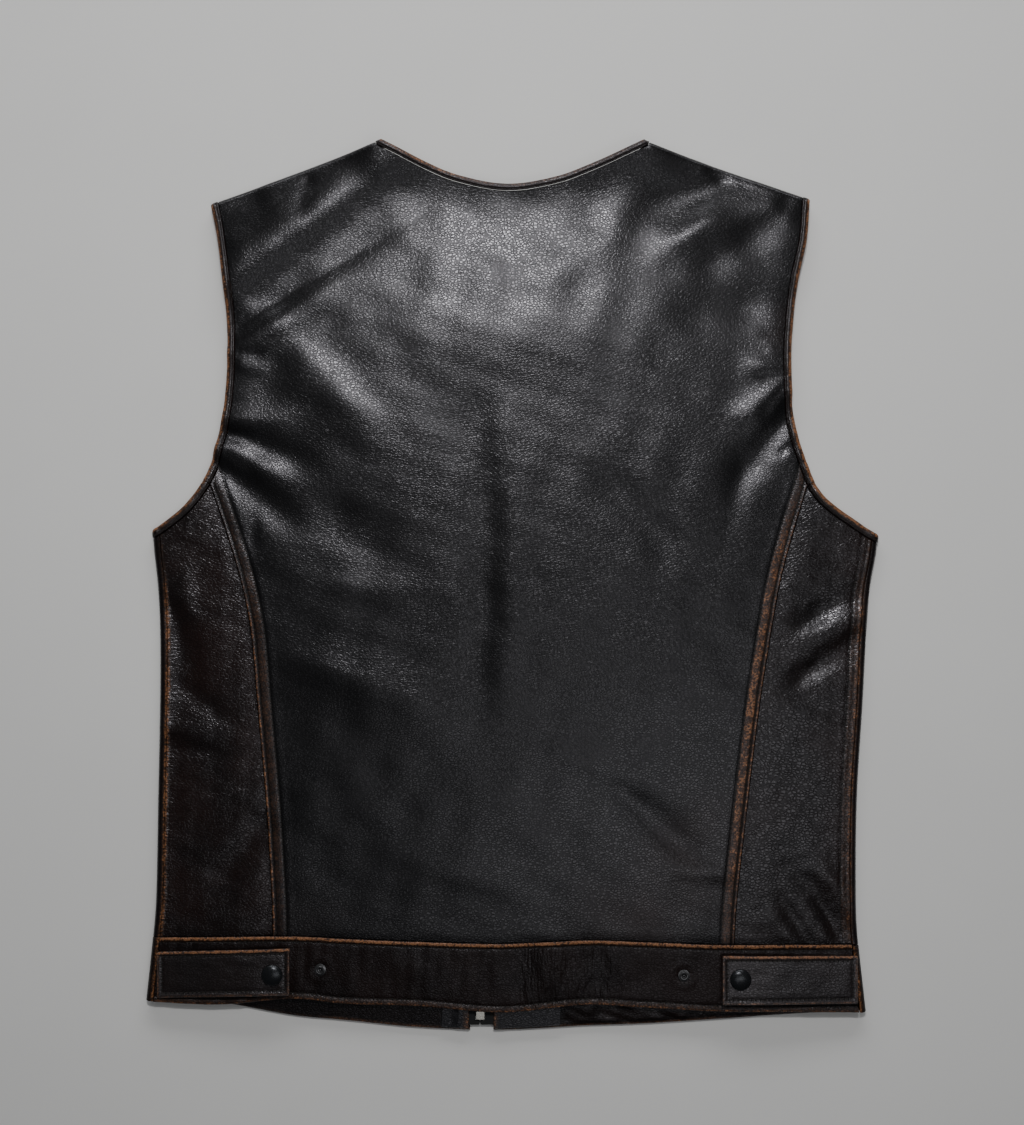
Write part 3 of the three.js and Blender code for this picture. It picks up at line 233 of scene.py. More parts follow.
BAND_FOLDS = table(
    FOLD_COLUMNS,
    (8, -258, 4, -304, 7, 9, -1.0, 0, 1),
    (30, -256, 24, -302, 9, 11, 0.9, 0, 1),
    (60, -256, 66, -302, 8, 10, -0.8, 0, 1),
    (-96, -262, -44, -290, 9, 12, 0.7, 0, 0),
)


# Curves through tables, and plane lines


def curve(columns, key, column, place):
    """A column's value at a place along the key column, on a smooth curve through the rows."""
    keys, values = columns[key], columns[column]
    if keys[0] > keys[-1]:
        keys, values = keys[::-1], values[::-1]
    slopes = np.empty_like(values)
    slopes[1:-1] = (values[2:] - values[:-2]) / (keys[2:] - keys[:-2])
    slopes[0] = (values[1] - values[0]) / (keys[1] - keys[0])
    slopes[-1] = (values[-1] - values[-2]) / (keys[-1] - keys[-2])
    inside = np.clip(place, keys[0], keys[-1])
    i = np.clip(np.searchsorted(keys, inside) - 1, 0, len(keys) - 2)
    span = keys[i + 1] - keys[i]
    t = (inside - keys[i]) / span
    value = (
        (2 * t**3 - 3 * t**2 + 1) * values[i]
        + (t**3 - 2 * t**2 + t) * span * slopes[i]
        + (3 * t**2 - 2 * t**3) * values[i + 1]
        + (t**3 - t**2) * span * slopes[i + 1]
    )
    return value + np.where(place < inside, slopes[0], slopes[-1]) * (place - inside)


def lerp(a, b, t):
    return a + (b - a) * t


def smooth(x, low, high):
    t = np.clip((x - low) / (high - low), 0, 1)
    return t * t * (3 - 2 * t)


def between(x, start, full, fading, end):
    """1 inside a stretch, with soft ends."""
    return smooth(x, start, full) * (1 - smooth(x, fading, end))


def bell(x):
    return np.exp(-x * x)


def ridges(distance, *rows):
    """Soft ridges along an edge: rise, distance and half width of each."""
    return sum(rise * bell((distance - place) / wide) for rise, place, wide in rows)


def unit(v):
    return v / np.maximum(np.linalg.norm(v, axis=-1, keepdims=True), 1e-12)


def lengths(line):
    return np.concatenate([[0], np.cumsum(np.linalg.norm(np.diff(line, axis=0), axis=1))])


def shares_of(line):
    return lengths(line) / lengths(line)[-1]


def pick(line, shares):
    """Points of a line at given shares of its length."""
    at = shares_of(line)
    return np.stack([np.interp(shares, at, column) for column in line.T], 1)


def steps(n):
    return np.linspace(0, 1, n + 1)


def inset(line, distance):
    """The line moved sideways, to its left where the distance is positive."""
    along = unit(np.gradient(line, axis=0))
    return line + distance * np.stack([-along[:, 1], along[:, 0]], 1)


def trim(line, measure):
    """The part of a line where a measure of its points is positive, cut exactly at its ends."""
    kept, m = [], measure(line)
    for i, p in enumerate(line):
        if i and m[i] * m[i - 1] < 0:
            kept.append(lerp(line[i - 1], p, m[i - 1] / (m[i - 1] - m[i])))
        if m[i] >= 0:
            kept.append(p)
    return np.array(kept)


def patch(left, right, bottom, top):
    """Rows of plane points inside four edges: left and right run up, bottom and top run across."""
    v = ((shares_of(left) + shares_of(right)) / 2)[:, None, None]
    u = ((shares_of(bottom) + shares_of(top)) / 2)[None, :, None]
    l, r, b, t = left[:, None], right[:, None], bottom[None], top[None]
    corners = (1 - v) * lerp(b[:, :1], b[:, -1:], u) + v * lerp(t[:, :1], t[:, -1:], u)
    return lerp(l, r, u) + lerp(b, t, v) - corners


# Outline of the laid vest


def side_x(side, y):
    return curve(BODY, "y", "side_" + side, y)


def princess_x(side, y):
    return curve(BODY, "y", "princess_" + side, y)


def hem(column, x):
    return curve(HEM, "x", column, x)


def front_band_top(x):
    return hem("front_foot", x) + hem("band_top", x) - hem("band_foot", x)


def zip_x(y):
    return lerp(ZIP_FOOT[0], ZIP_HEAD[0], (y - ZIP_FOOT[1]) / (ZIP_HEAD[1] - ZIP_FOOT[1]))


def shoulder_normal(side):
    tip, point = SHOULDER_TIP[side], NECK_POINT[side]
    return unit(np.array([SIGN[side] * (point[1] - tip[1]), abs(point[0] - tip[0])]))


def inside_shoulder(side, p):
    return (np.array(SHOULDER_TIP[side]) - p) @ shoulder_normal(side)


def inside_side(side, p):
    return SIGN[side] * (side_x(side, p[:, 1]) - p[:, 0])


def armhole_line(side, scoop):
    """Edge of the leather at an armhole, inside its binding, from above the shoulder to the side."""
    rows = ARMHOLE[side]
    y = lerp(rows["y"][0] + 4, rows["y"][-1], steps(LINE_STEPS))
    outer = np.stack([curve(rows, "y", "x", y), y], 1)
    line = inset(outer, -SIGN[side] * ARMHOLE_BINDING[0])
    line[:, 0] -= SIGN[side] * scoop * np.sin(np.pi * steps(LINE_STEPS))
    return line


def neck_line():
    x = lerp(NECK["x"][0] - 3, NECK["x"][-1] + 3, steps(LINE_STEPS))
    line = inset(np.stack([x, curve(NECK, "x", "y", x)], 1), -NECK_BINDING[0])
    for side in SIDES:
        line = trim(line, lambda p: inside_shoulder(side, p) - FOLD_RADIUS)
    return line


BACK_NECK = neck_line()
BACK_ARMHOLE = {side: armhole_line(side, 0) for side in SIDES}
FRONT_ARMHOLE = {side: armhole_line(side, FRONT_SCOOP) for side in SIDES}


def front_neck_line(side):
    start = BACK_NECK[0] if side == "left" else BACK_NECK[-1]
    angle = np.pi / 2 * steps(LINE_STEPS)
    x = ZIP_HEAD[0] + (start[0] - ZIP_HEAD[0]) * np.cos(angle)
    line = np.stack([x, start[1] + (ZIP_HEAD[1] - start[1]) * np.sin(angle)], 1)
    return trim(line, lambda p: SIGN[side] * (p[:, 0] - zip_x(p[:, 1])) - FRONT_EDGE[side])


FRONT_NECK = {side: front_neck_line(side) for side in SIDES}


# Heights of the middle surfaces

BOUND_EDGES = np.concatenate([*FRONT_ARMHOLE.values(), *FRONT_NECK.values()])[::3]


def edge_lift(x, y):
    x, y = np.broadcast_arrays(np.asarray(x, float), np.asarray(y, float))
    near = np.full(x.shape, np.inf)
    for px, py in BOUND_EDGES:
        near = np.minimum(near, (x - px) ** 2 + (y - py) ** 2)
    return EDGE_LIFT * np.exp(-near / EDGE_LIFT_REACH**2)


def front_height(x, y):
    across = 1 - smooth(np.abs(x - zip_x(y)), SLIDER_BUMP_WIDTH * 0.35, SLIDER_BUMP_WIDTH)
    slider = SLIDER_RISE * across * bell((y - SLIDER_Y) / SLIDER_BUMP_LENGTH)
    return WALL / 2 + edge_lift(x, y) + slider


def fold_height(rows, x, y):
    total = np.zeros(np.broadcast(x, y).shape)
    for x0, y0, x1, y1, wide0, wide1, rise, lean, whole in zip(*rows.values()):
        dx, dy = x1 - x0, y1 - y0
        length = math.hypot(dx, dy)
        t = np.clip(((x - x0) * dx + (y - y0) * dy) / length**2, 0, 1)
        side = (dx * (y - y0) - dy * (x - x0)) / length
        away = np.hypot(x - x0 - t * dx, y - y0 - t * dy)
        reach = lerp(wide0, wide1, t) * (1 + lean * np.tanh(side / 4))
        start = whole + (1 - whole) * smooth(t, 0, 0.35)
        total += rise * start * (1 - smooth(t, 0.5, 1)) * bell(away / reach)
    return total


def waves(x, y, seed, size, height):
    """Small irregular swells of about the given size."""
    rng = np.random.default_rng(seed)
    total = 0
    for _ in range(9):
        turn, phase = rng.uniform(0, 2 * np.pi, 2)
        k = 2 * np.pi / (size * rng.uniform(0.7, 1.6))
        total = total + np.sin(k * (x * math.cos(turn) + y * math.sin(turn)) + phase)
    return height * total / 3


def across_bulge(x):
    return np.maximum(0, 1 - (x / BULGE_HALF_WIDTH) ** 2)


def back_height(x, y):
    base = BACK_TOP + edge_lift(x, y) + curve(BULGE, "y", "rise", y) * across_bulge(x)
    return base + fold_height(FOLDS, x, y)


def fine_back_height(x, y):
    return back_height(x, y) + fold_height(CREASES, x, y) + waves(x, y, 3, 30, 0.16)


def band_height(x, y):
    return BAND_TOP + BAND_BULGE * across_bulge(x) + fold_height(BAND_FOLDS, x, y)


# Surfaces. A grid holds rows of points with the channels x, y, z, wear, rust, pucker and a darkening mark
# for dirt and for painted shade in grooves and joints.

CHANNELS = ("wear", "rust", "pucker", "dirt")
UP, DOWN = np.array([0, 0, 1.0]), np.array([0, 0, -1.0])
ROUND = 0.45


def grid(points, **marks):
    marked = [np.broadcast_to(marks.get(c, 0.0), points.shape[:2]) for c in CHANNELS]
    return np.concatenate([points, np.stack(marked, -1)], -1)


def with_height(plane, z):
    return np.concatenate([plane, z[..., None]], -1)


def weld(grids):
    """Points and quads of grids that share edges."""
    flat = np.concatenate([g.reshape(-1, g.shape[-1]) for g in grids])
    keys = np.round(flat[:, :3] * 500).astype(np.int64)
    _, first, index = np.unique(keys, axis=0, return_index=True, return_inverse=True)
    index = index.reshape(-1)
    quads, start = [], 0
    for g in grids:
        ids = index[start:start + g.shape[0] * g.shape[1]].reshape(g.shape[:2])
        start += g.shape[0] * g.shape[1]
        cells = [ids[:-1, :-1], ids[:-1, 1:], ids[1:, 1:], ids[1:, :-1]]
        quads.append(np.stack(cells, -1).reshape(-1, 4))
    return flat[first], np.concatenate(quads)


def normals_of(points, quads):
    a, b, c, d = (points[quads[:, k], :3] for k in range(4))
    face = np.cross(c - a, d - b)
    total = np.zeros((len(points), 3))
    for k in range(4):
        np.add.at(total, quads[:, k], face)
    return unit(total)


def boundary(quads):
    """Edges that only one quad has, in that quad's direction."""
    edges = np.concatenate([quads[:, [k, (k + 1) % 4]] for k in range(4)])
    keys = {tuple(e) for e in edges.tolist()}
    return np.array([e for e in edges.tolist() if (e[1], e[0]) not in keys])


class Sheet:
    """A thin wall round a middle surface made of grids."""

    def __init__(self, grids, facing, wall):
        self.points, self.quads = weld(grids)
        a, b, c, d = self.points[self.quads[0], :3]
        if np.cross(c - a, d - b) @ facing < 0:
            self.quads = self.quads[:, ::-1]
        self.normals = normals_of(self.points, self.quads)
        self.wall = wall
        self.index = {tuple(k): i for i, k in enumerate(self.keys(self.points).tolist())}

    @staticmethod
    def keys(points):
        return np.round(points[..., :3] * 500).astype(np.int64)

    def edge(self, points):
        """Points of the surface with their normals."""
        ids = [self.index[tuple(k)] for k in self.keys(points).reshape(-1, 3).tolist()]
        return np.concatenate([self.points[ids, :3], self.normals[ids]], 1)

    def mesh(self):
        """Corners, faces and channels of the wall, its rim rounded."""
        p, n, quads = self.points[:, :3], self.normals, self.quads
        rim = boundary(quads)
        out = np.zeros_like(p)
        way = np.cross(p[rim[:, 1]] - p[rim[:, 0]], n[rim[:, 0]])
        np.add.at(out, rim[:, 0], way)
        np.add.at(out, rim[:, 1], way)
        out = unit(out)
        half = self.wall / 2
        count, ids = len(p), np.unique(rim)
        place = np.zeros(count, int)
        place[ids] = np.arange(len(ids))
        rings = [p[ids] + n[ids] * h for h in (half - ROUND, ROUND - half)]
        corners = np.concatenate([p + n * half - out * ROUND, p - n * half - out * ROUND, *rings])
        a, b = rim.T
        upper, lower = 2 * count + place, 2 * count + len(ids) + place
        bands = [(a, b, upper[b], upper[a]), (upper[a], upper[b], lower[b], lower[a]),
                 (lower[a], lower[b], count + b, count + a)]
        sides = [np.stack([w, x, y, z], 1)[:, ::-1] for w, x, y, z in bands]
        faces = np.concatenate([quads, quads[:, ::-1] + count, *sides])
        marks = self.points[:, 3:]
        return corners, faces, np.concatenate([marks, marks, marks[ids], marks[ids]])


def make(name, corners, faces, material, marks=None, slot=None, replaces=(), smooth_angle=40):
    """A mesh object from corners in millimetres; it rides on the body vest."""
    mesh = bpy.data.meshes.new(name)
    corners = np.array(corners, float)
    corners[:, :2] -= MIDDLE
    faces = [np.asarray(f) for f in (faces if isinstance(faces, list) else [faces])]
    loops = np.concatenate([f.reshape(-1) for f in faces])
    sizes = np.concatenate([np.full(len(f), f.shape[1]) for f in faces])
    mesh.vertices.add(len(corners))
    mesh.vertices.foreach_set("co", (corners * MM).ravel())
    mesh.loops.add(len(loops))
    mesh.loops.foreach_set("vertex_index", loops)
    mesh.polygons.add(len(sizes))
    mesh.polygons.foreach_set("loop_start", np.concatenate([[0], np.cumsum(sizes)[:-1]]))
    mesh.polygons.foreach_set("use_smooth", np.ones(len(sizes), bool))
    mesh.update(calc_edges=True)
    mesh.validate()
    mesh.set_sharp_from_angle(angle=math.radians(smooth_angle))
    if marks is not None:
        for k, channel in enumerate(CHANNELS):
            mesh.attributes.new(channel, "FLOAT", "POINT").data.foreach_set("value", marks[:, k])
    mesh.materials.append(material)
    obj = bpy.data.objects.new(name, mesh)
    bpy.context.scene.collection.objects.link(obj)
    if replaces:
        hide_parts(*replaces)
    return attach(obj, "vest")


# Materials


class Nodes:
    """Short ways to add and join shader nodes."""

    def __init__(self, name):
        self.material = bpy.data.materials.new(name)
        self.material.use_nodes = True
        self.tree = self.material.node_tree
        self.tree.nodes.clear()
        self.shader = self.add("ShaderNodeBsdfPrincipled")
        output = self.add("ShaderNodeOutputMaterial")
        self.tree.links.new(self.shader.outputs[0], output.inputs[0])

    def add(self, kind, inputs=None, **settings):
        node = self.tree.nodes.new(kind)
        for key, value in settings.items():
            setattr(node, key, value)
        for key, value in (inputs or {}).items():
            self.join(value, node.inputs[key])
        return node

    def join(self, value, socket):
        if isinstance(value, bpy.types.NodeSocket):
            self.tree.links.new(value, socket)
        else:
            socket.default_value = value

    def math(self, operation, a, b=0.0, c=0.0):
        node = self.add("ShaderNodeMath", operation=operation)
        for value, socket in zip((a, b, c), node.inputs):
            self.join(value, socket)
        return node.outputs[0]

    def mix(self, share, a, b):
        node = self.add("ShaderNodeMix", data_type="RGBA")
        for value, socket in zip((share, a, b), (node.inputs[0], node.inputs[6], node.inputs[7])):
            self.join(value, socket)
        return node.outputs[2]

    def mark(self, name):
        return self.add("ShaderNodeAttribute", attribute_name=name).outputs["Fac"]

    def ramp(self, value, *stops):
        node = self.add("ShaderNodeValToRGB", {"Fac": value})
        elements = node.color_ramp.elements
        while len(elements) < len(stops):
            elements.new(0.5)
        for element, (place, colour) in zip(elements, stops):
            element.position = place
            element.color = (*colour, 1)
        return node.outputs[0]

    def span(self, value, low, high, to_low=0.0, to_high=1.0):
        node = self.add("ShaderNodeMapRange", interpolation_type="SMOOTHSTEP")
        for v, key in zip((value, low, high, to_low, to_high), range(5)):
            self.join(v, node.inputs[key])
        return node.outputs[0]

    def place(self):
        return self.add("ShaderNodeTexCoord").outputs["Object"]

    def stretched(self, vector, scale):
        return self.add("ShaderNodeMapping", {"Vector": vector, "Scale": scale}).outputs[0]

    def noise(self, vector, scale, detail, output="Fac"):
        inputs = {"Vector": vector, "Scale": scale, "Detail": detail}
        return self.add("ShaderNodeTexNoise", inputs).outputs[output]

    def pebbles(self, vector, scale, wide):
        """1 on the pebbles, falling to 0 in the cracks between them."""
        inputs = {"Vector": vector, "Scale": scale}
        node = self.add("ShaderNodeTexVoronoi", inputs, feature="DISTANCE_TO_EDGE")
        return self.span(node.outputs["Distance"], 0.0, wide)

    def give(self, name, value):
        self.join(value, self.shader.inputs[name])

    def bump(self, height, strength, distance):
        inputs = {"Height": height, "Strength": strength, "Distance": distance}
        self.give("Normal", self.add("ShaderNodeBump", inputs).outputs[0])


GRAIN_DEPTH = 1.6
GRAIN_WARP = (0.0018,) * 3
PUCKER_RELIEF = 9.0
# Painted shade in the cracks between the pebbles of the grain
CRACK_SHADE_COLOUR = (0.002, 0.0018, 0.0017, 1)
# Dark colour for dirt and for painted shade in stitch grooves, seams and joints
DIRT_AND_SHADE_COLOUR = (0.006, 0.005, 0.005, 1)
RUBBED_COLOURS = (
    (0.0, (0.010, 0.006, 0.005)), (0.35, (0.034, 0.018, 0.011)),
    (0.7, (0.100, 0.043, 0.020)), (1.0, (0.27, 0.12, 0.052)),
)
BLACK = (0.0042, 0.0041, 0.0043)
RUST = (0.0120, 0.0046, 0.0032)


def leather(
    name, base, roughness=0.32, grain=(2.4, 1.6), relief=0.046, pull_way=(0.25, 1.6, 1), shine=1.0
):
    """Leather with pebbled grain, its cracks darkened as painted shade; the wear mark rubs it brown, the
    rust mark tints it, and the last mark darkens it with dirt and painted shade.
    """
    n = Nodes(name)
    place = n.place()
    warp = n.noise(place, 260.0, 2.0, "Color")
    bent = n.add("ShaderNodeVectorMath", {0: warp, 1: GRAIN_WARP, 2: place}, operation="MULTIPLY_ADD")
    cells = n.stretched(bent.outputs[0], (1 / grain[0], 1 / grain[1], 1 / GRAIN_DEPTH))
    pebble = n.pebbles(cells, 1000.0, 0.24)
    broad = n.pebbles(cells, 330.0, 0.25)
    fine = n.noise(place, 1500.0, 2.0)
    patches = n.noise(place, 22.0, 3.0)
    small = n.noise(place, 190.0, 3.0)
    speck = n.noise(place, 760.0, 2.0)
    pull = n.noise(n.stretched(place, pull_way), 330.0, 1.0)
    wear, rust, pucker, dirt = (n.mark(channel) for channel in CHANNELS)
    height = n.math("MULTIPLY_ADD", broad, 0.45, pebble)
    height = n.math("MULTIPLY_ADD", fine, 0.15, height)
    height = n.math("MULTIPLY_ADD", n.math("MULTIPLY", pull, pucker), PUCKER_RELIEF, height)
    n.bump(height, 1.0, relief * MM)
    worn = n.math("MULTIPLY", wear, n.span(small, 0.3, 0.7, 0.5, 1.25))
    worn = n.math("MULTIPLY", worn, n.span(speck, 0.34, 0.66, 0.4, 1.6))
    worn = n.math("MULTIPLY_ADD", n.math("MULTIPLY", wear, pebble), 0.18, worn)
    tint = n.math("MULTIPLY", rust, n.span(patches, 0.3, 0.7, 0.5, 1.3))
    colour = n.mix(tint, (*base, 1), (*RUST, 1))
    colour = n.mix(n.span(worn, 0.0, 0.25), colour, n.ramp(worn, *RUBBED_COLOURS))
    # Darken towards it where grooves and joints hold dirt and painted shade
    colour = n.mix(n.math("MULTIPLY", dirt, 0.85), colour, DIRT_AND_SHADE_COLOUR)
    # The cracks between the pebbles go towards near-black: painted shade in the grain
    n.give("Base Color", n.mix(n.span(pebble, 0.0, 1.0, 0.68, 1.0), CRACK_SHADE_COLOUR, colour))
    rough = n.math("MULTIPLY_ADD", patches, 0.12, roughness - 0.06)
    rough = n.math("MULTIPLY_ADD", wear, 0.10, rough)
    n.give("Roughness", n.math("MULTIPLY_ADD", pebble, -0.06, rough))
    n.give("Specular IOR Level", n.span(pebble, 0.0, 1.0, 0.36 * shine, 0.56 * shine))
    n.give("Specular Tint", (0.95, 0.935, 1.0, 1))
    return n.material


def shaded(n, share, colour, dark):
    """The colour, darkened by a factor where the share is low."""
    return n.mix(share, (*[c * dark for c in colour], 1), (*colour, 1))


def metal(name, colour, roughness, metallic=1.0):
    n = Nodes(name)
    noise = n.noise(n.place(), 900.0, 3.0)
    n.give("Base Color", shaded(n, noise, colour, 0.75))
    n.give("Roughness", n.span(noise, 0.2, 0.8, roughness - 0.07, roughness + 0.07))
    n.give("Metallic", metallic)
    n.bump(noise, 0.4, 0.04 * MM)
    return n.material


def woven(name, colour):
    n = Nodes(name)
    place = n.place()
    ribs = {"Vector": place, "Scale": 420.0, "Distortion": 0.4}
    ribs = n.add("ShaderNodeTexWave", ribs, bands_direction="Y").outputs["Fac"]
    cross = {"Vector": place, "Scale": 300.0, "Distortion": 0.6}
    cross = n.add("ShaderNodeTexWave", cross).outputs["Fac"]
    weave = n.math("MULTIPLY_ADD", ribs, 0.6, n.math("MULTIPLY", cross, 0.4))
    n.give("Base Color", shaded(n, weave, colour, 0.5))
    n.bump(weave, 0.7, 0.2 * MM)
    n.give("Roughness", 0.85)
    return n.material


BACK_LEATHER = leather("leather_back", BLACK)
SIDE_LEATHER = leather("leather_side", BLACK, grain=(2.9, 1.9), relief=0.075)
BAND_LEATHER = leather(
    "leather_band", (0.0020, 0.0016, 0.0015), 0.38, relief=0.07, pull_way=(1.3, 0.3, 1), shine=0.6
)
# The tabs' base is a lighter grey than the band's: painted sheen for the light the tabs catch
TAB_LEATHER_WITH_SHEEN = leather("leather_tab", (0.0058, 0.0050, 0.0049), 0.36, relief=0.06, shine=1.4)
EDGE_LEATHER = leather("leather_edge", (0.0045, 0.0032, 0.0026), 0.36, (1.9, 1.4), 0.06)
FACING_LEATHER = leather("leather_facing", (0.0075, 0.0080, 0.0100), 0.34, relief=0.06)
THREAD = woven("thread", (0.024, 0.018, 0.015))
# Near-black rods laid across the stitch lines: painted shade standing for the needle holes
NEEDLE_HOLE_SHADE = woven("needle_hole", (0.0012, 0.0010, 0.0010))
TAPE = woven("zip_tape", (0.014, 0.014, 0.015))
BLACK_METAL = metal("black_metal", (0.030, 0.032, 0.036), 0.27, 0.7)
STUD_METAL = metal("stud_metal", (0.11, 0.11, 0.115), 0.26, 0.8)
BARE_METAL = metal("bare_metal", (0.62, 0.60, 0.55), 0.30)


# Panels

SEAM_COLUMNS = np.array([0, 1.3, 2.1, 2.9, 3.7, 5, 6.6, 8.4, 9.8, 10.8, 11.8, 12.8, 13.8, 15, 16.6, 18.6])
PRINCESS_ROWS, ARMHOLE_ROWS, NECK_COLUMNS = 128, 92, 72
ROLL_ROWS = 5
SIDE_FOLD_ROWS, SHOULDER_COLUMNS = 110, 26
SIDE_COLUMNS = np.concatenate([
    [0, 1.3, 2.1, 2.9, 3.7, 4.6, 5.5, 6.4, 7.4], np.linspace(9, 84, 38), [85.6],
])


def columns_from_seam(length, spacing):
    """Shares of a length, close together near its start."""
    rest = np.linspace(SEAM_COLUMNS[-1], length, max(2, round((length - SEAM_COLUMNS[-1]) / spacing)) + 1)
    return np.concatenate([SEAM_COLUMNS, rest[1:]]) / length


def from_princess(side, x, y):
    """Distance from the princess seam, positive on the centre back."""
    slope = princess_x(side, y + 1) - princess_x(side, y - 1)
    return SIGN[side] * (princess_x(side, y) - x) / np.hypot(1, slope / 2) - HALF_GAP


# How rubbed the edge and the strip of a princess seam are, by height
STRIP = {
    "left": table(
        "y edge strip",
        (-252, 0.9, 0.2), (-150, 1.0, 0.25), (-60, 1.0, 0.28),
        (0, 0.6, 0.25), (60, 0.25, 0.16), (100, 0.3, 0.1),
    ),
    "right": table(
        "y edge strip",
        (-252, 0.7, 0.3), (-200, 0.9, 0.5), (-120, 0.9, 0.66), (-40, 0.85, 0.6),
        (20, 0.8, 0.5), (60, 0.6, 0.3), (100, 0.5, 0.2),
    ),
}
STITCH_NEAR, STITCH_FAR = 2.3, 9.6


def princess_relief(side, x, y):
    """Height and marks that the lapped princess seam adds to the centre back."""
    away = from_princess(side, x, y)
    on_centre = smooth(away, -2, 0.1)
    height = ridges(
        away, (0.40, 0.6, 1.0), (-0.30, STITCH_NEAR, 0.55), (0.20, 6, 3),
        (-0.30, STITCH_FAR, 0.7), (0.14, 12.6, 2),
    )
    edge = curve(STRIP[side], "y", "edge", y) * ridges(away, (1, 0.5, 0.75))
    strip = curve(STRIP[side], "y", "strip", y) * between(away, 2.6, 3.6, 8.4, 9.4)
    # Dark lines at the two stitch rows: painted shade in their grooves, with dirt
    dirt = ridges(away, (0.3, STITCH_FAR, 0.6), (0.3, STITCH_NEAR, 0.4))
    return on_centre * height, on_centre * (edge + strip), on_centre * dirt


RUST_SPOTS = table(
    "x y reach amount",
    (125, -205, 34, 0.55), (95, -235, 30, 0.4), (140, -165, 22, 0.3), (60, -248, 40, 0.25),
    (190, 178, 12, 0.5), (196, 196, 10, 0.4), (-150, -245, 30, 0.15),
)


def spots(x, y):
    total = np.zeros(np.broadcast(x, y).shape)
    for sx, sy, reach, amount in zip(*RUST_SPOTS.values()):
        total += amount * bell(np.hypot(x - sx, y - sy) / reach)
    return np.clip(total, 0, 1)


def roll_point(edge, outward, degrees, radius, wall, low, high):
    """Points on a fold: 90 degrees is its upper edge and -90 its lower one."""
    angle = np.radians(degrees)
    out = (radius - wall / 2) * np.cos(angle)
    middle = radius + edge_lift(edge[..., 0], edge[..., 1])
    z = middle + np.sin(angle) * np.where(degrees > 0, high - middle, middle - low)
    return with_height(edge + outward * out[..., None], z)


def shoulder_roll(side, edge, up):
    """Rows round the shoulder fold, from the edge of the back (up 1) or of the front (up -1)."""
    last = math.degrees(math.asin(HALF_GAP / (FOLD_RADIUS - WALL / 2)))
    rows = [edge]
    for t in steps(ROLL_ROWS)[1:]:
        degrees = np.full(len(edge), up * lerp(90, last, t))
        z = edge[:, 2]
        points = roll_point(edge[:, :2], shoulder_normal(side), degrees, FOLD_RADIUS, WALL, z, z)
        rows.append(np.concatenate([points, edge[:, 3:]], 1))
    return np.stack(rows)


def centre_edge(side):
    sign = SIGN[side]
    on_back = trim(BACK_ARMHOLE[side], lambda p: inside_shoulder(side, p) - FOLD_RADIUS)
    armhole = trim(on_back, lambda p: sign * (princess_x(side, p[:, 1]) - p[:, 0]) - HALF_GAP)[::-1]
    foot = hem("band_top", princess_x(side, BODY["y"][1])) + HALF_GAP
    y = lerp(foot, armhole[0][1], steps(LINE_STEPS))
    seam = np.stack([princess_x(side, y) - sign * HALF_GAP, y], 1)
    seam[-1] = armhole[0]
    return np.concatenate([pick(seam, steps(PRINCESS_ROWS)), pick(armhole, steps(ARMHOLE_ROWS))[1:]])


def hem_line(start, end, height):
    x = lerp(start, end, steps(LINE_STEPS))
    return np.stack([x, height(x)], 1)


def back_panel():
    left, right = (centre_edge(side) for side in SIDES)
    left_top = np.array([left[-1], BACK_NECK[0]])
    right_top = np.array([right[-1], BACK_NECK[-1]])
    shoulder = columns_from_seam(lengths(left_top)[-1], 2.9)
    top = np.concatenate([
        pick(left_top, shoulder), pick(BACK_NECK, steps(NECK_COLUMNS))[1:-1],
        pick(right_top, shoulder)[::-1],
    ])
    foot = hem_line(left[0][0], right[0][0], lambda x: hem("band_top", x) + HALF_GAP)
    plane = patch(left, right, pick(foot, shares_of(top)), top)
    x, y = plane[..., 0], plane[..., 1]
    above_band = y - hem("band_top", x)
    z = fine_back_height(x, y) - 0.5 * bell(above_band / 3)
    # A dark line just above the band: painted shade where the back panel meets it
    wear, dirt = np.zeros(x.shape), 0.6 * bell(above_band / 2)
    for side in SIDES:
        rise, rub, dark = princess_relief(side, x, y)
        z, wear, dirt = z + rise, wear + rub, dirt + dark
    rows = grid(with_height(plane, z), wear=wear, rust=spots(x, y), dirt=dirt)
    count = len(shoulder)
    rolls = {
        "left": shoulder_roll("left", rows[-1, :count], 1),
        "right": shoulder_roll("right", rows[-1, -count:], 1),
    }
    return rows, rolls, Sheet([rows, *rolls.values()], UP, WALL)


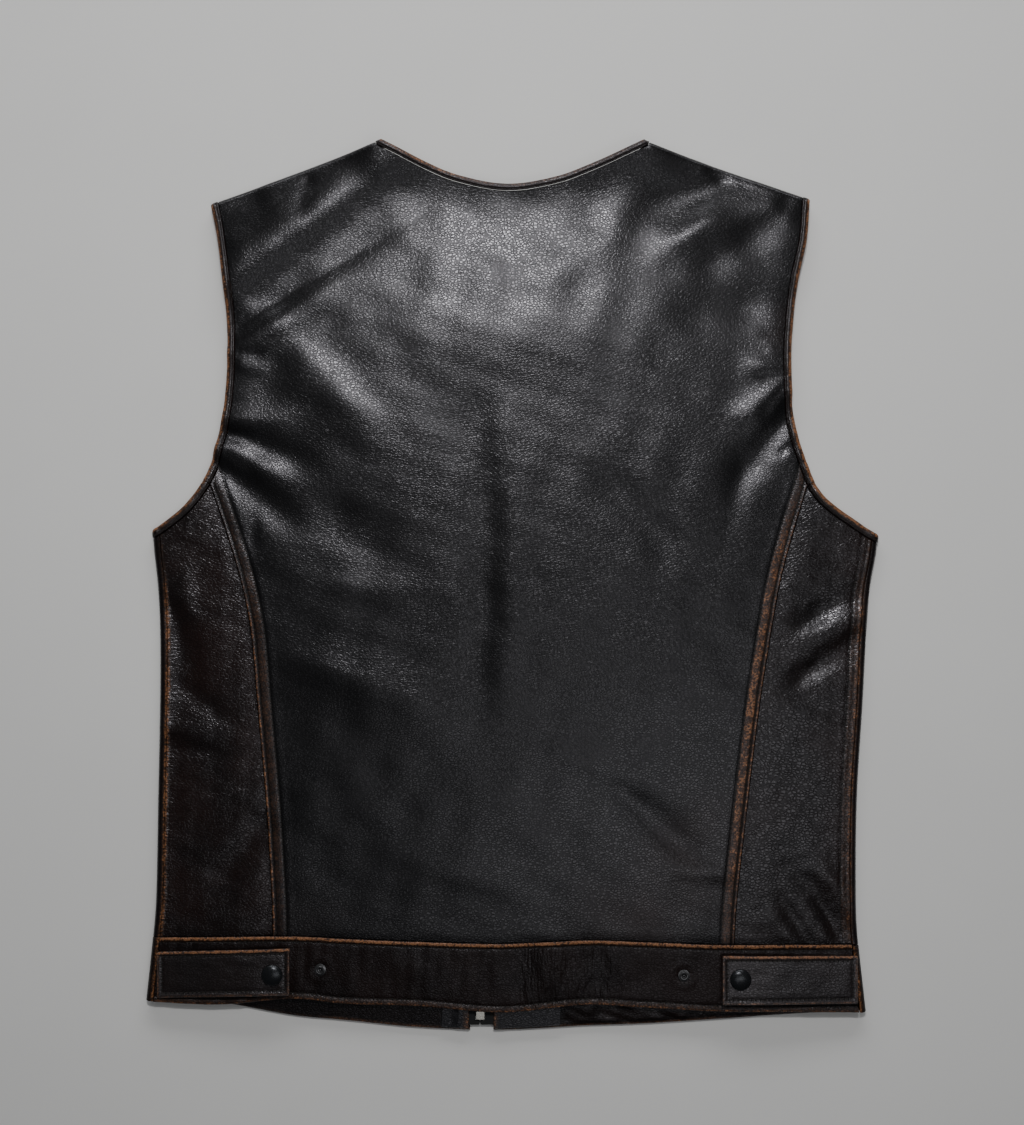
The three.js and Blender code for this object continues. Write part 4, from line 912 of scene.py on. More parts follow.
def side_back(side):
    sign = SIGN[side]
    inset_x = SIDE_SEAM_INSET[side] + HALF_GAP
    outside = trim(BACK_ARMHOLE[side], lambda p: sign * (p[:, 0] - princess_x(side, p[:, 1])) - HALF_GAP)
    armhole = trim(outside, lambda p: inside_side(side, p) - inset_x)[::-1]

    def column(end, place):
        y = lerp(hem("band_top", place(BODY["y"][1])) + HALF_GAP, end[1], steps(LINE_STEPS))
        return pick(np.stack([place(y), y], 1), steps(160))

    outer = column(armhole[0], lambda y: side_x(side, y) - sign * inset_x)
    inner = column(armhole[-1], lambda y: princess_x(side, y) + sign * HALF_GAP)
    across = SIDE_COLUMNS / SIDE_COLUMNS[-1]
    foot = hem_line(outer[0][0], inner[0][0], lambda x: hem("band_top", x) + HALF_GAP)
    plane = patch(outer, inner, pick(foot, across), pick(armhole, across))
    x, y = plane[..., 0], plane[..., 1]
    from_centre = -from_princess(side, x, y)
    from_side = sign * (side_x(side, y) - x) - inset_x
    above_band = y - hem("band_top", x)
    z = fine_back_height(x, y) - ridges(from_centre, (LAP, 0, 14), (0.4, 0, 4))
    z += waves(x, y, 5, 14, 0.10)
    z -= 0.5 * bell(above_band / 3)
    fade = 1 - smooth(y, -20, 20)
    if side == "left":
        z += fade * ridges(from_side, (0.35, 0.8, 1.1))
        wear = lerp(0.25, 0.8, fade) * ridges(from_side, (1, 0.5, 1.4))
        pucker, dirt, rust = fade * bell(from_side / 6), 0.0, 0.75
    else:
        z += ridges(from_side, (0.4, 0.8, 1.1), (-0.45, 7, 0.9))
        wear = ridges(from_side, (0.55, 0.7, 1.1)) + 0.25 * between(from_side, 0.5, 2, 5.8, 6.8)
        wear = wear * lerp(0.5, 1, fade)
        # A dark line at the stitch row: painted shade in its groove, with dirt
        pucker, dirt = ridges(from_side, (0.5, 7, 4)), ridges(from_side, (0.6, 7, 0.8))
        rust = 0.35 + 0.4 * bell(from_side / 16)
    # Dark along the lapped seam and just above the band: painted shade between the parts, with dirt
    dirt = dirt + 0.75 * bell(from_centre / 1.6) + 0.6 * bell(above_band / 2)
    rows = grid(with_height(plane, z), wear=wear, rust=rust, pucker=pucker, dirt=dirt)
    return rows, Sheet([rows], UP, WALL)


def side_wrap(side, ys, ends, radius, wall, low, high, marks):
    """Rows round the side fold, from the side seam on the back to the flat front."""
    sign = SIGN[side]
    seam_inset = SIDE_SEAM_INSET[side] - HALF_GAP
    arc = np.pi * (radius - wall / 2)
    total = arc + seam_inset - radius
    share = np.concatenate([[0], (steps(12) * arc + seam_inset - radius) / total])
    y = np.repeat(np.asarray(ys)[:, None], len(share), 1)
    if ends is not None:
        y[-1] = lerp(ends[0], ends[1], share) - UNDERARM_DIP * np.sin(np.pi * share)
    seam_x = side_x(side, y[:, 0]) - sign * seam_inset
    seam = with_height(np.stack([seam_x, y[:, 0]], 1), high(seam_x, y[:, 0]))
    edge = np.stack([side_x(side, y[:, 1:]) - sign * radius, y[:, 1:]], -1)
    degrees = np.broadcast_to(lerp(90, -90, steps(12)), edge.shape[:2])
    lower, upper = (height(edge[..., 0], edge[..., 1]) for height in (low, high))
    roll = roll_point(edge, np.array([sign, 0]), degrees, radius, wall, lower, upper)
    points = np.concatenate([seam[:, None], roll], 1)
    return grid(points, **marks(points, share[None, :] * total))


def front_panel(side, seam_top):
    sign = SIGN[side]
    on_front = trim(FRONT_ARMHOLE[side], lambda p: inside_shoulder(side, p) - FOLD_RADIUS)
    armhole = trim(on_front, lambda p: inside_side(side, p) - FOLD_RADIUS)[::-1]
    y = lerp(front_band_top(side_x(side, BODY["y"][1])) + HALF_GAP, armhole[0][1], steps(SIDE_FOLD_ROWS))
    fold = np.stack([side_x(side, y) - sign * FOLD_RADIUS, y], 1)
    fold[-1] = armhole[0]
    outer = np.concatenate([fold, pick(armhole, steps(70))[1:]])
    neck = FRONT_NECK[side]
    shoulder = np.array([outer[-1], neck[0]])
    top = np.concatenate([pick(shoulder, steps(SHOULDER_COLUMNS)), pick(neck, steps(36))[1:]])
    foot_y = front_band_top(zip_x(ZIP_FOOT[1]) + sign * FRONT_EDGE[side]) + HALF_GAP
    inner = np.array([[zip_x(foot_y) + sign * FRONT_EDGE[side], foot_y], top[-1]])
    inner = pick(inner, shares_of(outer))
    foot = hem_line(outer[0][0], inner[0][0], lambda x: front_band_top(x) + HALF_GAP)
    plane = patch(outer, inner, pick(foot, shares_of(top)), top)
    x, y = plane[..., 0], plane[..., 1]
    rows = grid(with_height(plane, front_height(x, y)), rust=0.2)

    def marks(points, along):
        fade = 1 - smooth(points[..., 1], -20, 20)
        rub = (0.7 if side == "left" else 0.5) * bell(along / 1.4)
        # A dark line beside the side seam: painted shade at the joint, with dirt
        wear, dirt = lerp(0.25, 1, fade) * rub, ridges(along, (0.5, 2.4, 1.2))
        return {"wear": wear, "rust": 0.5, "dirt": dirt}

    ends = (seam_top[1], armhole[0][1])
    wrap = side_wrap(side, fold[:, 1], ends, FOLD_RADIUS, WALL, front_height, back_height, marks)
    wrap[:, -1] = rows[:len(wrap), 0]
    roll = shoulder_roll(side, rows[-1, :SHOULDER_COLUMNS + 1], -1)
    return rows, wrap, roll, Sheet([rows, wrap, roll], DOWN, WALL)


# Waistbands


def band_rows(start_x, end_x, foot_y, top_y, columns, height):
    corner = start_x(HEM["band_foot"][0])
    v = BAND_SHARES[:, None]
    guess = lerp(foot_y(corner), top_y(corner), v)
    x = lerp(start_x(guess), end_x(guess), columns[None, :])
    y = lerp(foot_y(x), top_y(x), v)
    return np.stack([x, y, height(x, y)], -1)


BAND_ROWS = np.concatenate([
    [0, 0.5, 1.3, 2.1, 2.9, 3.7, 4.6, 5.8], np.linspace(7.5, 38.5, 19),
    [40.2, 41.2, 42.1, 43, 43.9, 44.5, 45, 45.4],
])
BAND_SHARES = BAND_ROWS / BAND_ROWS[-1]


def band_marks(y, foot, top):
    """Relief and marks by the distance to the band's folded lower and upper edges."""
    low, high = y - foot, top - y
    rise = ridges(low, (0.35, 1, 1.3), (-0.40, 4, 0.9)) + ridges(high, (0.75, 1.2, 1.1), (-0.35, 3.6, 0.9))
    wear = ridges(low, (0.55, 0.5, 0.8), (0.22, 2.2, 1.2)) + ridges(high, (1.7, 0.9, 0.5), (0.20, 2.2, 0.9))
    # Dark lines at the two stitch rows: painted shade in their grooves, with dirt
    dirt = ridges(low, (0.4, 4, 0.6)) + ridges(high, (0.5, 3.8, 0.7))
    return rise, wear, dirt


def band_back():
    def seam_x(side):
        return lambda y: side_x(side, y) - SIGN[side] * (SIDE_SEAM_INSET[side] + HALF_GAP)

    points = band_rows(
        seam_x("left"), seam_x("right"), lambda x: hem("band_foot", x),
        lambda x: hem("band_top", x) - HALF_GAP, steps(300), band_height,
    )
    x, y = points[..., 0], points[..., 1]
    rise, wear, dirt = band_marks(y, hem("band_foot", x), hem("band_top", x))
    points[..., 2] += rise + waves(x, y * 0.3, 8, 11, 0.16) + waves(x, y, 9, 24, 0.12)
    for px, py in (place for places in SNAP_PLACES.values() for place in places[1:]):
        away = np.hypot(x - px, y - py)
        points[..., 2] += ridges(away, (0.35, 8, 1.8), (-0.25, 0, 5))
    gathered = 0.12 + 0.88 * between(x, -4, 12, 66, 90)
    return Sheet([grid(points, wear=wear, rust=0.55, dirt=dirt, pucker=gathered)], UP, BAND_WALL)


def band_front(side):
    sign = SIGN[side]

    def flat(x, y):
        return np.full(np.broadcast(x, y).shape, BAND_WALL / 2)

    points = band_rows(
        lambda y: side_x(side, y) - sign * BAND_FOLD_RADIUS,
        lambda y: zip_x(y) + sign * FRONT_EDGE[side],
        lambda x: hem("front_foot", x), lambda x: front_band_top(x) - HALF_GAP, steps(190), flat,
    )
    x, y = points[..., 0], points[..., 1]
    low = y - hem("front_foot", x)
    wear = ridges(low, (0.5, 0.3, 1.6)) * lerp(0.5, 1, between(x, -160, -120, 120, 180))
    crumpled = between(x, 34, 42, 118, 134) * smooth(low, 1, 4)
    gathered = smooth(x, 120, 134) * smooth(low, 1, 4)
    points[..., 2] += crumpled * (0.9 + waves(x, y * 1.6, 21, 16, 0.55))
    points[..., 2] += gathered * 0.22 * np.sin(2 * np.pi * x / 4.4 + waves(x, y, 22, 20, 2))
    # A dark line above the folded lower edge: painted shade, with dirt
    dirt = ridges(low, (0.5, 3.4, 0.6))
    rows = grid(points, wear=wear, rust=0.3 + 0.3 * crumpled, dirt=dirt, pucker=0.1 + gathered)

    def marks(points, along):
        # A dark line beside the side seam: painted shade at the joint, with dirt
        rub, dirt = ridges(along, (0.9, 0, 1.6), (0.55, 6, 2)), ridges(along, (0.6, 3, 0.8))
        return {"wear": rub, "rust": 0.6, "dirt": dirt}

    y = points[:, 0, 1]
    wrap = side_wrap(side, y, None, BAND_FOLD_RADIUS, BAND_WALL, flat, band_height, marks)
    wrap[:, -1] = rows[:, 0]
    return Sheet([rows, wrap], DOWN, BAND_WALL)


# Facings and zip


def inner_height(x, y):
    up = np.clip((y - BAND_STEP[0]) / (BAND_STEP[1] - BAND_STEP[0]), 0, 1)
    return front_height(x, y) + WALL / 2 + (BAND_WALL - WALL) * (1 - up) + SEAM_GAP


def zip_rows(foot, head, count):
    return np.concatenate([
        np.linspace(foot, BAND_STEP[0], 13), np.linspace(BAND_STEP[1], head, count + 1),
    ])


def front_neck_at(side, offset):
    line = FRONT_NECK[side]
    return trim(line, lambda p: SIGN[side] * (p[:, 0] - zip_x(p[:, 1])) - offset)[-1][1]


FACING_COLUMNS = {"left": 5, "right": 16}


def facing(side):
    sign, outer = SIGN[side], FACING_OUTER[side]
    over_tape = [TAPE_OUTER + beside for beside in (1, -0.5, -2)]
    edge = [FRONT_EDGE[side] + inside for inside in (2, 0.4)]
    offsets = [*np.linspace(outer, TAPE_OUTER + 4, FACING_COLUMNS[side]), *over_tape, *edge]
    columns = []
    for offset in offsets:
        foot = hem("front_foot", zip_x(ZIP_FOOT[1]) + sign * offset) + FACING_HEM
        y = zip_rows(foot, front_neck_at(side, offset) - FACING_NECK, 150)
        x = zip_x(y) + sign * offset
        lift = TAPE_WALL + SEAM_GAP if offset <= TAPE_OUTER + 1 else SEAM_GAP
        z = inner_height(x, y) + lift + FACING_WALL / 2
        near = offset - FRONT_EDGE[side]
        wear = ridges(near, (0.6, 0.6, 2.2)) * (1 - smooth(y, -300, -285))
        columns.append(grid(np.stack([x, y, z], 1)[None], wear=wear, rust=0.1)[0])
    return Sheet([np.stack(columns)], UP, FACING_WALL)


def tape_height(x, y):
    return inner_height(x, y) + TAPE_WALL / 2


def tape_inner(y):
    below = y < ZIP_FOOT[1] - BOX_LENGTH / 2 - SEAM_GAP
    beside = y < SLIDER_Y - SLIDER_LENGTH / 2 - SEAM_GAP
    return np.where(below, HALF_GAP, np.where(beside, TAPE_EDGE, SLIDER_WIDTH / 2 + SEAM_GAP))


def zip_tape(side):
    box_foot = ZIP_FOOT[1] - BOX_LENGTH / 2 - SEAM_GAP
    slider_foot = SLIDER_Y - SLIDER_LENGTH / 2 - SEAM_GAP
    y = np.concatenate([
        np.linspace(ZIP_FOOT[1] - TAPE_TAIL, box_foot - SEAM_GAP, 4),
        zip_rows(box_foot, slider_foot - SEAM_GAP, 150), [slider_foot, SLIDER_Y, ZIP_HEAD[1] - 4],
    ])
    offsets = lerp(TAPE_OUTER, tape_inner(y)[:, None], steps(6)[None, :])
    x = zip_x(y)[:, None] + SIGN[side] * offsets
    y = np.broadcast_to(y[:, None], x.shape)
    return Sheet([grid(np.stack([x, y, tape_height(x, y)], -1))], UP, TAPE_WALL)


def boxes(centres, axes, sizes):
    """Corners and quads of many boxes; axes holds three unit vectors a box."""
    corner = np.array([(i, j, k) for i in (-1, 1) for j in (-1, 1) for k in (-1, 1)]) / 2
    corners = centres[:, None] + np.einsum("ck,nkd->ncd", corner * sizes, axes)
    quad = np.array([(0, 1, 3, 2), (4, 6, 7, 5), (0, 4, 5, 1), (2, 3, 7, 6), (0, 2, 6, 4), (1, 5, 7, 3)])
    return corners.reshape(-1, 3), (quad[None] + 8 * np.arange(len(centres))[:, None, None]).reshape(-1, 4)


# Width across the zip, length along it and thickness
TOOTH, CORD_PIECE = np.array([4.2, 1.05, 2.3]), np.array([1.0, 3.0, 1.7])
TOOTH_PITCH = 1.5


def zip_chain():
    """Teeth that reach in turn from the two tapes, with a piece of cord at each one's root."""
    foot = ZIP_FOOT[1] + BOX_LENGTH / 2 + SEAM_GAP
    head = SLIDER_Y - SLIDER_LENGTH / 2 - SEAM_GAP
    y = np.arange(foot + 0.7, head - 0.6, TOOTH_PITCH)
    side = np.where(np.arange(len(y)) % 2, 1, -1)
    along = unit(np.array([ZIP_HEAD[0] - ZIP_FOOT[0], ZIP_HEAD[1] - ZIP_FOOT[1], 0]))
    across = np.array([along[1], -along[0], 0])
    x = zip_x(y)
    middle = np.stack([x, y, tape_height(x, y)], 1)
    axes = np.broadcast_to(np.stack([across, along, UP]), (len(y), 3, 3))
    teeth = boxes(middle + across * (side * 0.9)[:, None], axes, TOOTH)
    cords = boxes(middle + across * (side * 2.5)[:, None], axes, CORD_PIECE)
    return np.concatenate([teeth[0], cords[0]]), np.concatenate([teeth[1], cords[1] + len(teeth[0])])


# Snaps and tabs


SHANK_RADIUS = 1.9
CAP_RADIUS, CAP_EDGE, CAP_DOME = 7.65, 0.7, 2.9
# Radius and height of the socket's corners and of the stud's: rivet, hollow post and flange
SOCKET = ((0.1, 3), (3.35, 3), (3.35, 1.3), (5, 1.3), (5, 3.3), (SHANK_RADIUS, 3.3))
STUD = (
    (0.02, 1.9), (0.5, 1.8), (0.85, 1.4), (1.2, 0.9), (1.6, 1.0), (1.75, 2.2), (2.1, 2.65),
    (2.5, 2.7), (2.85, 2.45), (2.9, 2.1), (2.6, 1.7), (2.7, 1.25), (3.3, 1.1), (4.1, 0.95),
    (4.3, 0.6), (3.9, 0.3), (0.02, 0.3),
)


def turned(profile, count=40):
    """A shape turned about Z from a closed profile of radius and height."""
    radius, height = np.array(profile, float).T
    angle = np.linspace(0, 2 * np.pi, count, endpoint=False)[:, None]
    z = np.broadcast_to(height, (count, len(height)))
    ring = np.stack([radius * np.cos(angle), radius * np.sin(angle), z], -1)
    ids = np.arange(z.size).reshape(z.shape)
    after = np.roll(ids, -1, 0)
    quads = np.stack([ids[:, :-1], after[:, :-1], after[:, 1:], ids[:, 1:]], -1).reshape(-1, 4)
    return ring.reshape(-1, 3), quads


def snap_cap():
    """A socket under the tab, a shank through it and a domed cap on top."""
    seat = SNAP_STACK + TAB_WALL + SEAM_GAP
    shank = ((SHANK_RADIUS, seat), (CAP_RADIUS - 0.75, seat), (CAP_RADIUS - 0.15, seat + 0.2))
    angle = np.linspace(0, np.pi / 2 - 0.02, 12)
    across, up = CAP_RADIUS * np.cos(angle), seat + CAP_EDGE + CAP_DOME * np.sin(angle)
    return turned([*SOCKET, *shank, *zip(across, up), (0.02, up[-1])])


def stud():
    return turned(STUD, 32)


TAB_PLACES = ("base", "end", "base_top", "base_foot", "end_top", "end_foot")
TAB_CORNERS = {
    "left": dict(zip(TAB_PLACES, (-256.2, -160.6, -262.2, -294.9, -258.8, -291.9))),
    "right": dict(zip(TAB_PLACES, (246.6, 149.2, -265.0, -298.8, -264.0, -298.6))),
}
TAB_LIFT = {"left": 0.5, "right": 1.4}  # how far the lower edge stands off the band
NEAR_EDGE = np.array([0, 0.5, 1.2, 2, 2.8, 3.6, 4.6])
FAR_EDGE = np.array([4.6, 3.6, 2.8, 2, 1.2, 0.6, 0])


def edged(length, count):
    """Shares of a length, close together near both ends."""
    return np.concatenate([NEAR_EDGE, np.linspace(6, length - 6, count), length - FAR_EDGE]) / length


def tab_foot(side, x, y, u, v):
    """Height of a tab's underside at shares of its length and width."""
    rise = lerp(SEAM_GAP, SNAP_STACK, smooth(u, 0, 0.8)) + TAB_LIFT[side] * (1 - v)
    return band_height(x, y) + BAND_WALL / 2 + rise


def tab(side):
    c = TAB_CORNERS[side]
    length, width = abs(c["end"] - c["base"]), c["end_top"] - c["end_foot"]
    u, v = edged(length, 70)[None, :], edged(width, 18)[:, None]
    x = lerp(c["base"], c["end"], u) + 0 * v
    y = lerp(lerp(c["base_foot"], c["end_foot"], u), lerp(c["base_top"], c["end_top"], u), v)
    z = tab_foot(side, x, y, u, v) + TAB_WALL / 2
    edge = np.minimum(np.minimum(u, 1 - u) * length, np.minimum(v, 1 - v) * width)
    cap = SNAP_PLACES[side][0]
    away = np.hypot(x - cap[0], y - cap[1])
    z = z + ridges(edge, (0.25, 1, 1.2), (-0.35, 3.4, 0.8)) + 0.2 * smooth(edge, 4, 9)
    z = z - 0.5 * bell(away / 9) * smooth(away, 3, 6) + waves(x * 0.6, y, 12, 10, 0.08)
    top = ridges(width - v * width, (1.6, 0.7, 0.7)) + 0 * u
    # A dark line at the stitch row: painted shade in its groove, with dirt
    rub, dirt = np.maximum(top, ridges(edge, (0.5, 0.6, 0.8))), ridges(edge, (0.3, 3.4, 0.6))
    rows = grid(np.stack([x, y, z], -1), wear=rub, rust=0.45, dirt=dirt, pucker=0.3)
    return Sheet([rows], UP, TAB_WALL)


# Bindings


# Across and up of a binding strip folded round an edge, drawn for a strip 6 wide
BINDING_DRAWN = 0.3, 6
BINDING_TOP = (
    (0.3, -0.5), (0.6, -0.12), (1.1, 0), (1.7, -0.45), (2.4, 0), (3.2, 0), (4.2, -0.1),
    (5, -0.4), (5.6, -0.9),
)
BINDING_HOLLOW = ((4.9, 0), (4.5, 0.35), (3.4, 0.5), (1.8, 0.5), (0.3, 0.5))
GROOVE_AT, THREAD_UP = 1.7, 1.15


def binding_section(width, thickness):
    """Across and up of the folded strip's section, and where its stitched groove is."""
    start, end = BINDING_DRAWN
    half = thickness / 2
    top = [(a, half + b) for a, b in BINDING_TOP]
    foot = [(a, -half - b) for a, b in BINDING_TOP if a != GROOVE_AT][::-1]
    hollow = [(a, -b) for a, b in BINDING_HOLLOW[::-1]] + list(BINDING_HOLLOW[1:])
    a, b = np.array([*top, (end, 0), *foot, *hollow]).T
    groove = ridges(a, (1, GROOVE_AT, 0.6)) * (np.arange(len(a)) < len(top))
    return SEAM_GAP + (a - start) * (width - SEAM_GAP) / (end - start), b, groove


def edge_frames(path, closed, step=1.8):
    """Even places along an edge with the way out of the panel; the path has points and normals."""
    if closed:
        path = np.concatenate([path, path[:1]])
    at = lengths(path[:, :3])
    keep = np.concatenate([[True], np.diff(at) > 1e-6])
    path, at = path[keep], at[keep]
    count = round(at[-1] / step)
    places = np.linspace(0, at[-1], count + 1)[:-1] if closed else np.linspace(0, at[-1], count + 1)
    even = np.stack([np.interp(places, at, column) for column in path.T], 1)
    point, normal = even[:, :3], unit(even[:, 3:])
    if closed:
        along = np.roll(point, -1, 0) - np.roll(point, 1, 0)
    else:
        along = np.gradient(point, axis=0)
    return point, normal, unit(np.cross(along, normal))


def sweep(frames, section, out_sign, closed, rub):
    """A binding's corners, faces and marks: its section carried along an edge."""
    point, normal, out = frames
    a, b, groove = section
    across, up = out_sign * a[None, :, None] * out[:, None], b[None, :, None] * normal[:, None]
    ring = point[:, None] + across + up
    rings, m = ring.shape[:2]
    ids = np.arange(rings * m).reshape(rings, m)
    ahead = np.roll(ids, -1, 0) if closed else ids[1:]
    here = ids if closed else ids[:-1]
    faces = [np.stack([here, np.roll(here, -1, 1), np.roll(ahead, -1, 1), ahead], -1).reshape(-1, 4)]
    if not closed:
        faces.append(np.stack([ids[0, ::-1], ids[-1]]))
    if out_sign < 0:
        faces = [f[:, ::-1] for f in faces]
    bead = smooth(a, a.max() * 0.45, a.max() * 0.8)
    wear = bead[None, :] * rub(point)[:, None]
    # The stitched groove is darkened: painted shade in it, with dirt
    marked = grid(ring, wear=wear, rust=0.8, pucker=0.25, dirt=0.8 * groove)
    return ring.reshape(-1, 3), faces, marked[..., 3:].reshape(rings * m, -1)


def armhole_path(side, back, side_panel, front):
    rows, rolls, sheet = back
    column = 0 if side == "left" else -1
    front_rows, wrap, roll, front_sheet = front
    side_rows, side_sheet = side_panel
    return np.concatenate([
        sheet.edge(rows[PRINCESS_ROWS:, column]),
        sheet.edge(rolls[side][1:, column]),
        front_sheet.edge(roll[1:, 0][::-1]),
        front_sheet.edge(front_rows[SIDE_FOLD_ROWS:, 0][::-1]),
        front_sheet.edge(wrap[-1, :-1][::-1]),
        side_sheet.edge(side_rows[-1]),
    ])


def neck_path(back, fronts):
    rows, rolls, sheet = back
    shoulder = rolls["left"].shape[1] - 1

    def half(side):
        front_rows, _, roll, front_sheet = fronts[side]
        column = -1 if side == "left" else 0
        return np.concatenate([
            front_sheet.edge(front_rows[-1, SHOULDER_COLUMNS:][::-1]),
            front_sheet.edge(roll[1:, SHOULDER_COLUMNS]),
            sheet.edge(rolls[side][1:, column][::-1]),
        ])

    middle = sheet.edge(rows[-1, shoulder:len(rows[-1]) - shoulder])
    return np.concatenate([half("left"), middle, half("right")[::-1]])


# Stitches


THREAD_SIDES = 6
# Place along a thread, in lengths of it, and radius there
THREAD_PROFILE = np.array([(-0.5, 0.35), (-0.36, 0.85), (0, 1), (0.36, 0.85), (0.5, 0.35)])
THREAD_ENDS = ((3, 2, 1, 0), (5, 4, 3, 0), (24, 25, 26, 27), (24, 27, 28, 29))


def threads(name, runs, material, spacing, first, length, radius, across=False):
    """Short rods laid along lines on the surface, or across them; a run holds points with normals."""
    count = len(THREAD_PROFILE)
    s, r = (np.repeat(column, THREAD_SIDES) for column in THREAD_PROFILE.T)
    angle = np.tile(np.linspace(0, 2 * np.pi, THREAD_SIDES, endpoint=False), count)
    ids = np.arange(count * THREAD_SIDES).reshape(-1, THREAD_SIDES)
    low, high = ids[:-1], ids[1:]
    sides = np.stack([high, np.roll(high, -1, 1), np.roll(low, -1, 1), low], -1).reshape(-1, 4)
    one = np.concatenate([sides, THREAD_ENDS])
    corners = []
    for run in runs:
        at = lengths(run[:, :3])
        places = np.arange(first, at[-1] - 0.6, spacing)
        point, up, ahead = (
            np.stack([np.interp(places + step, at, column) for column in part.T], 1)
            for step, part in ((0, run[:, :3]), (0, run[:, 3:]), (0.4, run[:, :3]))
        )
        along = unit(ahead - point)
        side = unit(np.cross(along, up))
        if across:
            along, side = side, along
        rod = np.stack([s * length, np.cos(angle) * r * radius, np.sin(angle) * r * radius], 1)
        corners.append((point[:, None] + rod[None] @ np.stack([along, side, up], 1)).reshape(-1, 3))
    corners = np.concatenate(corners)
    starts = np.arange(0, len(corners), len(s))
    return make(name, corners, (one[None] + starts[:, None, None]).reshape(-1, 4), material)


def stitches(name, runs, spacing=3.9, radius=0.34):
    """Threads with near-black rods across the line between them: painted shade for the needle holes."""
    threads(name, runs, THREAD, spacing, spacing / 2, spacing - 1.1, radius)
    threads(name + "_holes", runs, NEEDLE_HOLE_SHADE, spacing, spacing, 1.8, 0.48, across=True)


def on_surface(x, y, height, wall):
    """A line on top of a sheet, with normals."""
    z = height(x, y)
    slope_x = height(x + 0.5, y) - height(x - 0.5, y)
    slope_y = height(x, y + 0.5) - height(x, y - 0.5)
    up = unit(np.stack([-slope_x, -slope_y, np.ones_like(z)], -1))
    return np.concatenate([np.stack([x, y, z], -1) + up * wall / 2, up], -1)


# The vest

back = back_panel()
side_backs = {side: side_back(side) for side in SIDES}
fronts = {side: front_panel(side, side_backs[side][0][-1, 0]) for side in SIDES}


def cloth(name, sheet, material, slot):
    """A sheet that stands for its solid."""
    corners, faces, marks = sheet.mesh()
    obj = make(name, corners, faces, material, marks, slot=slot, replaces=(name,))
    obj.name = "cloth_" + name


cloth("back_panel", back[2], BACK_LEATHER, "leather_black")
for side in SIDES:
    front = f"front_{side}"
    side_sheet, front_sheet = side_backs[side][1], fronts[side][3]
    cloth(f"side_back_{side}", side_sheet, SIDE_LEATHER, "leather_side")
    cloth(front, front_sheet, BACK_LEATHER, "leather_black")
    cloth(f"band_front_{side}", band_front(side), BAND_LEATHER, "leather_band")
    cloth(f"facing_{side}", facing(side), FACING_LEATHER, "leather_facing")
    cloth(f"zip_tape_{side}", zip_tape(side), TAPE, "zip_fabric")
    cloth(f"tab_{side}", tab(side), TAB_LEATHER_WITH_SHEEN, "leather_band")
cloth("band_back", band_back(), BAND_LEATHER, "leather_band")


def binding(edge, path, size, out_sign, closed, rub):
    """A binding strip round an edge; returns the line of its stitches with normals."""
    frames = edge_frames(path, closed)
    corners, quads, marks = sweep(frames, binding_section(*size), out_sign, closed, rub)
    settings = {"slot": "leather_edge", "replaces": (f"binding_{edge}",)}
    obj = make(f"bound_{edge}", corners, quads, EDGE_LEATHER, marks, **settings)
    lengths(frames[0])[-1] * MM
    point, normal, out = frames
    return np.concatenate([point + out_sign * GROOVE_AT * out + normal * THREAD_UP, normal], 1)


def armhole_rub(side):
    def rub(point):
        y = point[:, 1]
        if side == "left":
            return 0.75 + ridges(y, (0.25, 190, 60), (0.3, 95, 14))
        return 0.9 + ridges(y, (0.2, 120, 60), (0.4, 70, 30))
    return rub


def neck_rub(point):
    return 0.4 + ridges(point[:, 0], (0.4, -60, 26))


stitch_runs = []
for side in SIDES:
    path = armhole_path(side, back, side_backs[side], fronts[side])
    rub = armhole_rub(side)
    run = binding(f"armhole_{side}", path, ARMHOLE_BINDING, SIGN[side], True, rub)
    stitch_runs.append(run)
path = neck_path(back, fronts)
stitch_runs.append(binding("neck", path, NECK_BINDING, -1, False, neck_rub))
stitches("stitches_bindings", stitch_runs)


def centre_top(x, y):
    z = fine_back_height(x, y)
    for side in SIDES:
        z = z + princess_relief(side, x, y)[0]
    return z


runs = []
for side in SIDES:
    for distance in (STITCH_NEAR, STITCH_FAR):
        y = np.linspace(-251, 84 if distance < 5 else 92, 200)
        x = princess_x(side, y) - SIGN[side] * distance
        runs.append(on_surface(x, y, centre_top, WALL))
y = np.linspace(-251, 20, 160)
x = side_x("right", y) - (SIDE_SEAM_INSET["right"] + 7)
runs.append(on_surface(x, y, fine_back_height, WALL - 0.6))
stitches("stitches_seams", runs)


def band_top_height(x, y):
    return band_height(x, y) + band_marks(y, hem("band_foot", x), hem("band_top", x))[0]


x = np.linspace(-257, 246, 300)
runs = [on_surface(x, hem("band_top", x) - 3.9, band_top_height, BAND_WALL),
        on_surface(x, hem("band_foot", x) + 4, band_top_height, BAND_WALL)]
stitches("stitches_band", runs, spacing=3.4)

TAB_STITCH_INSET = 3.4
for side in SIDES:
    c = TAB_CORNERS[side]
    base, end = (c[key] - way * SIGN[side] * TAB_STITCH_INSET for key, way in (("base", 1), ("end", -1)))
    turns = [
        (base, c["base_foot"] + TAB_STITCH_INSET), (end, c["end_foot"] + TAB_STITCH_INSET),
        (end, c["end_top"] - TAB_STITCH_INSET), (base, c["base_top"] - TAB_STITCH_INSET),
    ]
    line = pick(np.array([*turns, turns[0]]), steps(160))
    x, y = line.T
    u = (x - c["base"]) / (c["end"] - c["base"])
    v = (y - c["base_foot"]) / (c["base_top"] - c["base_foot"])
    z = tab_foot(side, x, y, u, v) + TAB_WALL - 0.15
    run = np.concatenate([line, z[:, None], np.tile(UP, (len(line), 1))], 1)
    stitches(f"stitches_tab_{side}", [run], spacing=3.2, radius=0.3)

